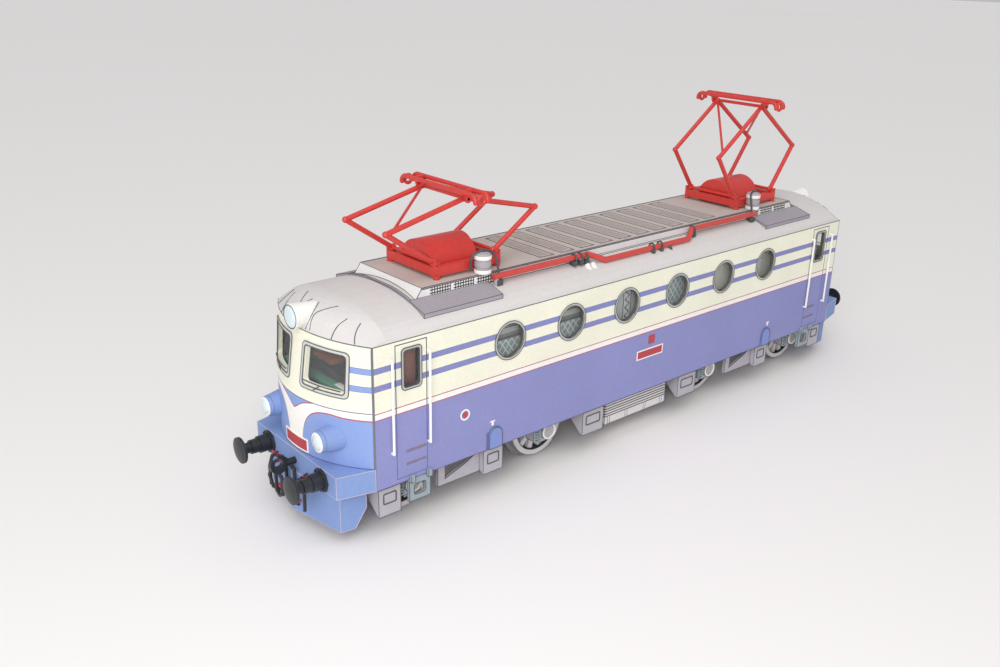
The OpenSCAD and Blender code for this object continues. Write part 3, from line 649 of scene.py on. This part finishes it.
sidesMaterial = liverySides()
frontMaterial = liveryFront()
hatchMaterial = hatchPaper()
batteryMaterial = batteryPaper()
screenMaterial = screenPaper()
roofMaterial = plainPaper("printedPaperRoof", "#D3CFCD", 0.8, 0.035)
blueMaterial = plainPaper("printedPaperBlue", "#8199CC", 0.7, 0.06)
coverMaterial = plainPaper("printedPaperCover", "#7F90CC", 0.7, 0.05)
gearMaterial = plainPaper("printedPaperGear", "#B5B1B8", 0.76, 0.09)
stepMaterial = plainPaper("printedPaperStep", "#9AA6AC", 0.76, 0.07)
walkwayMaterial = plainPaper("printedPaperWalkway", "#A29BA3", 0.8, 0.08)
whiteMaterial = plainPaper("whiteCard", "#F2EFEA", 0.7, 0.03)
railMaterial = plainPaper("whiteThread", "#F7F5F1", 0.6, 0.03)
insulatorMaterial = plainPaper("printedPaperInsulator", "#A9A3A8", 0.6, 0.06)
cabMaterial = plainPaper("printedPaperCab", "#4A3A34", 0.8, 0.12)
floorMaterial = plainPaper("greyCardFloor", "#6E6A6C", 0.85, 0.08)
inkMaterial = plainPaper("blackPrintInk", "#55555B", 0.7, 0.1)
paleEdgeMaterial = plainPaper("cutCardEdge", "#B4B2C2", 0.8, 0.08)
frameMaterial = plainPaper("printedPaperWindowFrame", "#C9CBC6", 0.7, 0.05)
ringMaterial = plainPaper("printedPaperPorthole", "#BCBFBA", 0.7, 0.08)
plateMaterial = plainPaper("printedPaperPlate", "#B8434C", 0.65, 0.05)
orangeMaterial = plainPaper("cabSeatPaper", "#C9702E", 0.8, 0.08)
leatherMaterial = plainPaper("cabSidePaper", "#A8624E", 0.8, 0.08)
deskMaterial = plainPaper("cabDeskPaper", "#4F8A6E", 0.8, 0.06)
redMaterial = brushPaint("redBrushedEnamel", "#D03A33", 0.42, 0.15)
busbarMaterial = brushPaint("redWireEnamel", "#CB4640", 0.4, 0.1)
blackMaterial = brushPaint("blackBrushedEnamel", "#25282D", 0.45, 0.1)
hoseMaterial = brushPaint("blackWireInsulation", "#2A2B2F", 0.38, 0.1, 0.02)
tapMaterial = brushPaint("redTapEnamel", "#C23A48", 0.4, 0.1)
darkWireMaterial = brushPaint("darkIronWire", "#4A4E50", 0.4, 0.0, 0.03)
filmMaterial = clearSheet("clearAcetate", "#C9D2D4", 0.07)
lensMaterial = brushPaint("paleBlueLensGloss", "#D6E6EA", 0.18, 0.6, 0.01)
print("materials ready")

dressing = {
    sidesMaterial: ("left_side_wall", "right_side_wall"), frontMaterial: ("front_end_wall", "rear_end_wall"),
    hatchMaterial: ("roof_hatch",), roofMaterial: ("roof",), walkwayMaterial: ("roof_walkways",),
    busbarMaterial: ("busbar",), insulatorMaterial: ("roof_insulators",), batteryMaterial: ("battery_boxes",),
    stepMaterial: ("cab_steps",), railMaterial: ("handrails",), coverMaterial: ("pivot_covers",),
    screenMaterial: ("machine_room_screens",), floorMaterial: ("floor",), filmMaterial: ("side_window_panes",),
}
for material, names in dressing.items():
    for name in names:
        dress(name, material)
endDressing = {
    blueMaterial: ("headstock", "snowplow", "headlights"), blackMaterial: ("buffers", "coupling"),
    hoseMaterial: ("brake_hoses",), filmMaterial: ("windscreens",), whiteMaterial: ("roof_lamp",),
    cabMaterial: ("cab_interior",),
    gearMaterial: ("bogie_frame", "bogie_axleboxes", "bogie_side_bearers", "bogie_sandboxes"),
    redMaterial: ("pantograph_base", "pantograph_lower_front", "pantograph_lower_rear",
                  "pantograph_upper_front", "pantograph_upper_rear", "pantograph_head"),
}
for end in ("front", "rear"):
    for material, names in endDressing.items():
        for name in names:
            dress(end + "_" + name, material)
for number in (1, 2, 3, 4):
    low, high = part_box("wheelset_%d" % number)
    dress("wheelset_%d" % number, wheelPaper("cardWheel%d" % number, (low + high) / 2 / mm))
print("parts dressed")


sideWindows = {"portholes": 6, "pitch": 17.2, "height": 34.2, "outer": 4.1, "rim": 0.5,
               "door": (65.0, 69.6, 30.5, 38.9), "frame": 0.5, "card": 0.12, "line": 0.17, "doorLine": 0.2}


def onLeft(a, b, depth):
    return (a, side + depth, b)


def lineOnLeft(outline, width):
    return bendWire([(a, side + sideWindows["card"], b) for a, b in outline], width, closed=True, sides=1)


card, rim = sideWindows["card"], sideWindows["rim"]
rings, inks = [], []
for i in range(sideWindows["portholes"]):
    x = (i - (sideWindows["portholes"] - 1) / 2) * sideWindows["pitch"]
    rings.append(flatShape(circleOutline(x, sideWindows["height"], sideWindows["outer"]), onLeft, card, rim))
    for radius in (sideWindows["outer"], sideWindows["outer"] - rim):
        inks.append(lineOnLeft(circleOutline(x, sideWindows["height"], radius), sideWindows["line"]))
door = sideWindows["door"]
for sign in (1, -1):
    low, high = sorted((door[0] * sign, door[1] * sign))
    outline = roundedOutline((low, door[2]), (high, door[3]), 0.8)
    rings.append(flatShape(outline, onLeft, card, sideWindows["frame"]))
    inks.append(lineOnLeft(outline, sideWindows["doorLine"]))
    inner = roundedOutline((low + 0.5, door[2] + 0.5), (high - 0.5, door[3] - 0.5), 0.5)
    inks.append(lineOnLeft(inner, sideWindows["doorLine"]))
finishPiece(bothSides(joinUp(rings)), "window_rings", ringMaterial, "body")
finishPiece(bothSides(joinUp(inks)), "window_outlines", inkMaterial, "body")

windscreenTrim = {"outer": (2.0, 13.2, 30.0, 38.9), "frame": 0.7, "corner": 0.9}
a, b, c, d = windscreenTrim["outer"]


def onFront(u, v, depth):
    return (depth, u, v)


outline = splitLong(roundedOutline((a, c), (b, d), windscreenTrim["corner"]), 0.8)
screens = drapeOnFront(flatShape(outline, onFront, 0.22, windscreenTrim["frame"]))
trimLines = []
for inset, width in ((0.0, 0.2), (0.65, 0.24)):
    radius = windscreenTrim["corner"] - inset * 0.3
    loop = splitLong(roundedOutline((a + inset, c + inset), (b - inset, d - inset), radius), 0.8)
    trimLines.append(bendWire([(frontFace(u, v) + 0.2, u, v) for u, v in loop], width, closed=True, sides=1))
# the wiper: a slim blade that lies along the lower edge, and its arm
bladeLine = [(u, 31.6 - (u - 3.4) * 0.03) for u in (3.2, 5.0, 7.0, 9.0, 11.8)]
blade = [(frontFace(u, v) + 0.42, u, v) for u, v in bladeLine]
arm = [(frontFace(u, v) + 0.45, u, v) for u, v in ((6.2, 30.4), (6.9, 30.9), (7.6, 31.45))]
trimLines += [bendWire(blade, 0.24), bendWire(arm, 0.22)]
finishEnds(bothSides(screens), "windscreen_frames", frameMaterial)
finishEnds(bothSides(joinUp(trimLines)), "windscreen_lines", inkMaterial)
print("windows framed")


lamps = {"offset": 9.9, "height": 21.5, "tip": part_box("front_headlights")[1].x / mm,
         "topTip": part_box("front_roof_lamp")[1].x / mm, "topHeight": 43.1}
tip, out, up = lamps["tip"], lamps["offset"], lamps["height"]
collar = turnRod((tip - 0.75, out, up), (tip + 0.15, out, up), 4.0, 3.9, 32, 0.12)
groove = hoop((tip - 0.78, out, up), 2.08, 0.16, "x")
lens = knob((tip + 0.1, out, up), 3.1, (0.28, 1, 1))
topTip, topUp = lamps["topTip"], lamps["topHeight"]
topCollar = turnRod((topTip - 0.5, 0, topUp), (topTip + 0.12, 0, topUp), 5.0, 4.9, 36, 0.12)
topGroove = hoop((topTip + 0.12, 0, topUp), 2.28, 0.2, "x")
topLens = knob((topTip + 0.06, 0, topUp), 4.4, (0.22, 1, 1))
collars = joinUp([bothSides(collar), topCollar])
lenses = joinUp([bothSides(lens), topLens])
grooves = joinUp([bothSides(groove), topGroove])
for scale, end in (((-1, 1, 1), "rear"), ((1, 1, 1), "front")):
    for piece, name, material, slotName in ((collars, "lamp_collars", whiteMaterial, "white_card"),
            (lenses, "lamp_lenses", lensMaterial, "clear_film"),
            (grooves, "lamp_grooves", inkMaterial, "black_paint")):
        made = copyTurned(piece, scale) if end == "rear" else piece
        finishPiece(made, end + "_" + name, material, "body", 60)

plates = {"front": (4.1, 16.5, 19.3), "side": (-4.9, 4.1, 19.6, 21.9), "square": (-1.75, 0.35, 22.9, 25.0),
          "emblem": (54.5, 21.1, 1.2), "border": 0.28}
half, low, high = plates["front"]
plateEdge = splitLong([(half, low), (half, high), (-half, high), (-half, low)], 0.6)
border = drapeOnFront(flatShape(plateEdge, onFront, 0.18, plates["border"]))
clearSelection()
bpy.ops.mesh.primitive_grid_add(x_subdivisions=12, y_subdivisions=4, size=1)
field = bpy.context.active_object
for vertex in field.data.vertices:
    up = low + 0.2 + (vertex.co.y + 0.5) * (high - low - 0.4)
    vertex.co = Vector((0.03, vertex.co.x * 2 * (half - 0.2), up)) * mm
editAll()
bpy.ops.mesh.extrude_region_move(TRANSFORM_OT_translate={"value": (0.1 * mm, 0, 0)})
bpy.ops.mesh.select_all(action="SELECT")
bpy.ops.mesh.normals_make_consistent(inside=False)
outOfEdit()
field = drapeOnFront(field)
a, b, c, d = plates["side"]
sideBorder = flatShape([(a, c), (b, c), (b, d), (a, d)], onLeft, 0.1, plates["border"])
a, b, c, d = a + 0.2, b - 0.2, c + 0.2, d - 0.2
sideField = flatShape([(a, c), (b, c), (b, d), (a, d)], onLeft, 0.06)
a, b, c, d = plates["square"]
square = flatShape(roundedOutline((a, c), (b, d), 0.2), onLeft, 0.08)
ex, ez, er = plates["emblem"]
emblem = flatShape(circleOutline(ex, ez, er), onLeft, 0.1, 0.3)
emblemHeart = flatShape(circleOutline(ex, ez, 0.62, 20), onLeft, 0.08)
reds = joinUp([bothSides(joinUp([sideField, square, emblemHeart])), bothEnds(field)])
whites = joinUp([bothSides(joinUp([sideBorder, emblem])), bothEnds(border)])
finishPiece(reds, "plate_fields", plateMaterial, "body")
finishPiece(whites, "plate_borders", whiteMaterial, "body")
print("lamps and plates on")


seams = {"width": 0.2, "lines": (
    ((80.7, 2.3, 41.0), (79.9, 2.6, 42.7), (78.5, 2.1, 44.2), (77.0, 1.2, 45.1)),
    ((80.5, 3.5, 41.1), (79.9, 3.2, 42.6), (78.9, 3.0, 43.8), (77.7, 3.8, 44.5), (75.5, 5.4, 45.2)),
    ((79.4, 9.1, 40.8), (78.7, 9.0, 41.9), (77.8, 9.0, 42.9), (76.1, 9.4, 44.0)),
    ((77.4, 13.8, 40.8), (76.9, 13.1, 41.7), (75.9, 12.4, 42.8), (74.9, 12.0, 43.6)),
)}
roofLines = [bendWire(line, seams["width"], soft=True, sides=1) for line in seams["lines"]]
roofLines = [bothSides(joinUp(roofLines))]


def nearEave(p, q):
    # the fold between the roof and the walls, round the fronts and along the sides
    if max(p.z, q.z) >= eave + 0.05:
        return False
    return abs(frontFace(min(abs(p.y), side), eave) - abs(p.x)) < 0.2 or abs(p.y) > side - 0.1


eaveInk = inkEdges(["roof"], 0.14, 40, keep=nearEave)
roofInk = bothEnds(joinUp(roofLines))
finishPiece(joinUp([roofInk, eaveInk, inkEdges(["roof_hatch"], 0.2), inkEdges(["roof_walkways"], 0.16)]),
            "roof_print_lines", inkMaterial, "body")

# ribs are heights above the base with the radius there
insulatorShape = {
    "x": 44.6, "y": 9.95, "base": 46.9,
    "ribs": ((0, 1.7), (0.9, 1.72), (1.0, 1.5), (1.35, 1.5), (1.5, 1.72), (2.4, 1.72), (2.6, 1.5), (2.8, 1.5),
             (3.0, 1.72), (3.8, 1.7), (4.15, 1.45), (4.3, 0.9)),
}


def ribbedPost(shape):
    # a stack of discs turned on one axis, each level extruded and scaled from the last
    clearSelection()
    bpy.ops.mesh.primitive_circle_add(vertices=28, radius=shape["ribs"][0][1] * mm, fill_type="NGON",
        location=(shape["x"] * mm, shape["y"] * mm, shape["base"] * mm))
    obj = settle(bpy.context.active_object)
    editAll()
    for (z0, r0), (z1, r1) in zip(shape["ribs"], shape["ribs"][1:]):
        bpy.ops.mesh.extrude_region_move(TRANSFORM_OT_translate={"value": (0, 0, (z1 - z0) * mm)})
        outOfEdit()
        top = max(v.co.z for v in obj.data.vertices)
        for vertex in obj.data.vertices:
            if abs(vertex.co.z - top) < 1e-7:
                vertex.co.x = shape["x"] * mm + (vertex.co.x - shape["x"] * mm) * r1 / r0
                vertex.co.y = shape["y"] * mm + (vertex.co.y - shape["y"] * mm) * r1 / r0
        bpy.ops.object.mode_set(mode="EDIT")
    bpy.ops.mesh.select_all(action="SELECT")
    bpy.ops.mesh.normals_make_consistent(inside=False)
    outOfEdit()
    return obj


post = ribbedPost(insulatorShape)
ix, iy, base = insulatorShape["x"], insulatorShape["y"], insulatorShape["base"]
whiteRings = [turnRod((ix, iy, base + z), (ix, iy, base + z + 0.8), 3.52, 3.52, 28, 0.08) for z in (0.1, 2.95)]
fittings = {
    "clips": ((21.0, 11.9, 44.5), (19.2, 12.0, 44.4), (17.6, 12.1, 44.2), (-2.6, 13.3, 43.2), (-5.4, 13.3, 43.2),
              (-18.6, 11.9, 44.4)),
    "length": 0.55, "width": 0.9, "thick": 1.1, "wire": 0.4, "whiteAt": (16.4, 18.0), "whiteDia": 1.15,
    "bracket": ((2.5, 9.0, 47.9), (2.4, 9.1, 49.4), (2.1, 9.3, 50.6), (0.9, 9.8, 51.4), (-0.8, 10.1, 51.5),
                (-2.2, 10.7, 50.7), (-2.5, 11.2, 49.4), (-2.6, 11.8, 46.6), (-2.6, 11.9, 44.8)),
}
long, wide = fittings["length"], fittings["width"]
darkBits, whiteBits = [], []
for x, y, z in fittings["clips"]:
    darkBits.append(cutBlock((x - long, y - wide, z), (x + long, y + wide, z + fittings["thick"]), 0.2))
    loop = [(x, y - wide, z + 0.6), (x, y - 0.5, z + 2.3), (x, y + 0.5, z + 2.3), (x, y + wide, z + 0.6)]
    darkBits.append(bendWire(loop, fittings["wire"], soft=True))
for x in fittings["whiteAt"]:
    whiteBits.append(turnRod((x, 12.9, 44.6), (x - 0.5, 14.0, 42.6), fittings["whiteDia"], None, 16, 0.15))
darkBits.append(turnRod((-8.4, 13.5, 44.4), (-8.7, 14.2, 42.6), 1.0, 1.0, 14))
bracketPath = [(ix + x, y, z) for x, y, z in fittings["bracket"]]
bracket = joinUp([bendWire(bracketPath, 0.5, soft=True), knob((ix, 9.95, 51.3), 1.0, (1.1, 1.1, 0.6)),
                  cutBlock((ix - 3.4, 11.1, 44.3), (ix - 1.8, 12.5, 45.6), 0.2)])
darkBits += [copyTurned(bracket, (-1, 1, 1)), bracket]
finishPiece(bothEnds(post), "insulator_posts", insulatorMaterial, "body", 40)
whiteRings += [copyTurned(ring, (-1, 1, 1)) for ring in whiteRings]
finishPiece(joinUp(whiteRings + whiteBits), "insulator_rings", whiteMaterial, "body", 40)
finishPiece(joinUp(darkBits), "busbar_fittings", darkWireMaterial, "body", 50)
print("roof dressed")


pantographs = {
    "front": {"place": 46.9, "angle": 34.2}, "rear": {"place": -48.3, "angle": 53.8},
    "half": 7.7, "lower": 13.3, "upper": 19.2, "pivotHeight": 50.0, "offset": 6.9, "wire": 1.08, "brace": 0.6,
    "strip": 1.5, "rise": 1.5, "knob": 1.32, "footKnob": 1.7, "shaft": 0.8,
}
for end in ("front", "rear"):
    place, turn = pantographs[end]["place"], math.radians(pantographs[end]["angle"])
    half, lower, upper = pantographs["half"], pantographs["lower"], pantographs["upper"]
    foot, off, wire = pantographs["pivotHeight"], pantographs["offset"], pantographs["wire"]
    kneeOut, kneeUp = half + lower * math.cos(turn), foot + lower * math.sin(turn)
    top = kneeUp + math.sqrt(upper * upper - kneeOut * kneeOut)
    for sign, word in ((1, "front"), (-1, "rear")):
        parts = []
        for hand in (off, -off):
            low, knee = (place + sign * half, hand, foot), (place + sign * kneeOut, hand, kneeUp)
            parts += [bendWire([low, knee], wire, rounded=False, sides=4),
                      knob(low, pantographs["footKnob"], (1, 0.75, 1)), knob(knee, pantographs["knob"])]
        x, reachOut = place + sign * half, off + 1.2
        parts.append(turnRod((x, -reachOut, foot), (x, reachOut, foot), pantographs["shaft"], sides=16))
        name = "%s_pantograph_lower_%s" % (end, word)
        finishPiece(joinUp(parts), name + "_arms", redMaterial, name, 50, [name])
        parts = []
        for hand in (off, -off):
            knee, crown = (place + sign * kneeOut, hand, kneeUp), (place, hand, top)
            parts.append(bendWire([knee, crown], wire, rounded=False, sides=4))
            if sign == 1:
                parts.append(knob(crown, pantographs["knob"]))
        knee = Vector((place + sign * kneeOut, sign * off, kneeUp))
        crown = Vector((place, -sign * off, top))
        braceFoot = knee.lerp(Vector((place, sign * off, top)), 0.09)
        parts.append(bendWire([braceFoot, crown], pantographs["brace"], sides=2))
        if sign == 1:
            parts.append(turnRod((place, -off - 1.3, top), (place, off + 1.3, top), pantographs["shaft"], sides=16))
        name = "%s_pantograph_upper_%s" % (end, word)
        finishPiece(joinUp(parts), name + "_arms", redMaterial, name, 50, [name])
    rise, strip = pantographs["rise"], pantographs["strip"]
    parts = []
    for sign in (-1, 1):
        path = [(place + sign * strip, y, top + rise) for y in (-10.0, -5.0, 0.0, 5.0, 10.0)]
        hook = [(10.9, 0.0), (11.6, -0.3), (12.0, -0.8), (12.1, -1.3)]
        path = [(place + sign * strip, -y, top + rise + z) for y, z in reversed(hook)] + path + \
               [(place + sign * strip, y, top + rise + z) for y, z in hook]
        parts.append(bendWire(path, 1.0, soft=True, sides=4))
    for hand in (-1, 1):
        y = hand * (off + 1.0)
        plate = flatShape(roundedOutline((place - 2.0, top + rise - 0.55), (place + 2.0, top + rise + 0.4), 0.3),
                          lambda u, v, depth, y=y: (u, y - 0.3 + depth, v), 0.6)
        shape = ((-1.2, rise - 0.2), (1.2, rise - 0.2), (0.75, -0.3), (0.3, -0.75), (-0.3, -0.75), (-0.75, -0.3))
        hanger = flatShape([(place + u, top + v) for u, v in shape],
                           lambda u, v, depth, y=y: (u, y - 0.3 + depth, v), 0.6)
        # flat rings at the ends of the strips, with a hole through
        eyeRing = hoop((place, hand * 12.0, top + rise - 1.0), 0.85, 0.75, "y", 24, 3)
        parts += [plate, hanger, eyeRing]
    finishPiece(joinUp(parts), "%s_pantograph_bow" % end, redMaterial, "%s_pantograph_head" % end, 50,
                ["%s_pantograph_head" % end])
print("pantographs built")


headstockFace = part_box("front_brake_hoses")[0].x / mm
endGear = {"taps": ((4.65, 12.2, 1.5), (6.9, 12.25, 1.0)), "tapDia": 0.95}
taps = []
for y, z, length in endGear["taps"]:
    tapEnd, lever = headstockFace + length, headstockFace + length * 0.6
    taps.append(turnRod((headstockFace - 0.02, y, z), (tapEnd, y, z - 0.35), endGear["tapDia"], 0.8, 14))
    taps.append(bendWire([(lever, y, z), (lever + 0.5, y + 0.5, z + 0.55)], 0.4))
taps.append(turnRod((headstockFace + 1.5, 3.5, 6.4), (headstockFace + 2.1, 3.7, 7.3), 0.9, 0.9, 14))
finishEnds(bothSides(joinUp(taps)), "hose_taps", tapMaterial, 50)
edges = ["front_headstock", "rear_headstock", "front_snowplow", "rear_snowplow"]
finishPiece(inkEdges(edges, 0.2), "buffer_beam_edges", paleEdgeMaterial, "body")
buffer = {"y": 10.05, "z": 13.6, "start": 83.4, "plate": 5.0, "bolt": 0.6, "boltCircle": 2.0}
start, y, z = buffer["start"], buffer["y"], buffer["z"]
bufferBits = [turnRod((start - 0.05, y, z), (start + 0.35, y, z), buffer["plate"], buffer["plate"], 8, 0.1)]
for turn in (45, 135, 225, 315):
    q, r = [buffer["boltCircle"] * way(math.radians(turn)) for way in (math.cos, math.sin)]
    inner, outer = (start + 0.3, y + q, z + r), (start + 0.65, y + q, z + r)
    bufferBits.append(turnRod(inner, outer, buffer["bolt"], buffer["bolt"] - 0.05, 6, 0.05))
bufferBits = bothEnds(bothSides(joinUp(bufferBits)))
finishPiece(bufferBits, "buffer_flanges", blackMaterial, "body", 40)
cab = {"seatBack": ((66.6, 4.0, 30.0), (67.9, 11.0, 36.6)), "seatPad": ((67.2, 4.0, 29.0), (72.0, 11.0, 30.6)),
       "desk": ((76.6, -11.5, 29.4), (78.6, 11.5, 30.6)), "sideCard": ((64.2, 13.6, 29.5), (67.6, 13.9, 39.4)),
       "papers": ((76.8, 7.2, 30.6), (78.0, 10.2, 30.85))}
seat = bothSides(joinUp([cutBlock(*cab["seatBack"], 0.6), cutBlock(*cab["seatPad"], 0.5)]))
desk = cutBlock(*cab["desk"], 0.3)
cards = bothSides(cutBlock(*cab["sideCard"], 0.05))
papers = bothSides(cutBlock(*cab["papers"], 0.05))
for piece, name, material, slotName in ((seat, "cab_seats", orangeMaterial, "interior_card"),
        (desk, "cab_desk", deskMaterial, "interior_card"), (papers, "cab_papers", whiteMaterial, "white_card"),
        (cards, "cab_side_cards", leatherMaterial, "interior_card")):
    finishPiece(bothEnds(piece), name, material, "body", 40)
print("ends fitted")


for end in ("front", "rear"):
    names = ["%s_bogie_%s" % (end, part) for part in ("frame", "axleboxes", "side_bearers", "sandboxes")]
    outlines = inkEdges(names, 0.17, keep=lambda p, q: abs(p.y) > 10 or abs(q.y) > 10)
    finishPiece(outlines, end + "_bogie_outlines", inkMaterial, end + "_bogie")
outlines = inkEdges(["battery_boxes", "cab_steps"], 0.16, keep=lambda p, q: min(p.z, q.z) < 11.9)
finishPiece(outlines, "underframe_outlines", inkMaterial, "body")
finishPiece(inkEdges(["pivot_covers"], 0.2), "cover_outlines", inkMaterial, "body")

# spans of the printed panels run from the bogie's pivot
boxes = {"pivot": 46.6, "wheelbase": 36.8, "face": 16.0, "axle": 8.1, "outer": ((23.0, 28.1), (-33.4, -26.8)),
         "middle": (-3.0, 2.2), "panel": (7.2, 9.6), "springCoils": 4, "springPitch": 0.65}
for end, sign in (("front", 1), ("rear", -1)):
    pivot = sign * boxes["pivot"]
    panels, springs, arcs = [], [], []
    for hand in (1, -1):
        place = lambda u, v, depth, hand=hand: (u, hand * (boxes["face"] + depth), v)
        a, b = boxes["middle"]
        spans = [(u, v) if sign == 1 else (-v, -u) for u, v in boxes["outer"]] + [(a, b) if hand == 1 else (-b, -a)]
        low, high = boxes["panel"]
        for a, b in spans:
            panel = roundedOutline((pivot + a + 1.0, low), (pivot + b - 1.0, high), 0.35)
            panels.append(flatShape(panel, place, 0.12, 0.22))
        for axle in (-1, 1):
            centre = pivot + axle * boxes["wheelbase"] / 2
            arcs.append(hoop((centre, hand * 13.95, boxes["axle"]), 1.75, 0.5, "y", 24, 2))
            for k in range(boxes["springCoils"]):
                level = 6.6 + k * boxes["springPitch"]
                springs.append(hoop((centre + 3.1, hand * 13.5, level), 1.9, 0.42, "y", 16, 2, (0.5, 0.2)))
    finishPiece(joinUp(panels), end + "_bogie_panel_prints", inkMaterial, end + "_bogie")
    finishPiece(joinUp(arcs), end + "_axlebox_rings", whiteMaterial, end + "_bogie", 60)
    finishPiece(joinUp(springs), end + "_bogie_springs", stepMaterial, end + "_bogie", 60)
print("running gear finished")


studio = {"floorSize": 6.0, "camera": (164.29, 153.58, 106.30), "turn": (68.839, -1.104, 139.488), "lens": 35.27}
clearSelection()
bpy.ops.mesh.primitive_plane_add(size=studio["floorSize"], location=(0, 0, 0))
floorSheet = bpy.context.active_object
floorSheet.name = "studio_floor"
floorPaper, floorTree, floorShader = startMaterial("paleStudioPaper", 0.9)
floorCoords = addNode(floorTree, "TexCoord", take="Object")
floorNoise = addNode(floorTree, "TexNoise", {"Vector": floorCoords, "Scale": 3.0})
floorColour = printLayers(floorTree, hexColour("#F3F0EF"), [(floorNoise, "#F1EDEC")])
floorTree.links.new(floorColour, floorShader.inputs["Base Color"])
floorSheet.data.materials.append(floorPaper)

world = bpy.data.worlds.new("softRoom")
bpy.context.scene.world = world
world.use_nodes = True
world.node_tree.nodes["Background"].inputs[0].default_value = hexColour("#F8F9FC")
world.node_tree.nodes["Background"].inputs[1].default_value = 0.52

lights = {
    "flashCard": {"kind": "AREA", "at": (420, 250, 260), "size": 0.2, "energy": 0.75, "colour": "#FFFFFF"},
    "nearCard": {"kind": "AREA", "at": (185, 185, 120), "size": 0.06, "energy": 0.12, "colour": "#FFFFFF"},
    "skylight": {"kind": "SUN", "at": (180, 210, 560), "size": 0.9, "energy": 1.0, "colour": "#FFFDFB"},
}
for name, settings in lights.items():
    lamp = bpy.data.lights.new(name, settings["kind"])
    if settings["kind"] == "AREA":
        lamp.size = settings["size"]
    else:
        lamp.angle = settings["size"]
    lamp.energy = settings["energy"]
    lamp.color = hexColour(settings["colour"])[:3]
    holder = bpy.data.objects.new(name, lamp)
    holder.location = Vector(settings["at"]) * mm
    holder.rotation_euler = (Vector((20, 0, 25)) * mm - holder.location).to_track_quat("-Z", "Y").to_euler()
    bpy.context.scene.collection.objects.link(holder)

cameraData = bpy.data.cameras.new("camera")
cameraData.lens = studio["lens"]
cameraData.sensor_width = 36
cameraData.clip_start = 0.005
camera = bpy.data.objects.new("camera", cameraData)
camera.location = Vector(studio["camera"]) * mm
camera.rotation_euler = [math.radians(c) for c in studio["turn"]]
bpy.context.scene.collection.objects.link(camera)
bpy.context.scene.camera = camera
bpy.context.scene.view_settings.view_transform = "Standard"
print("studio lit")
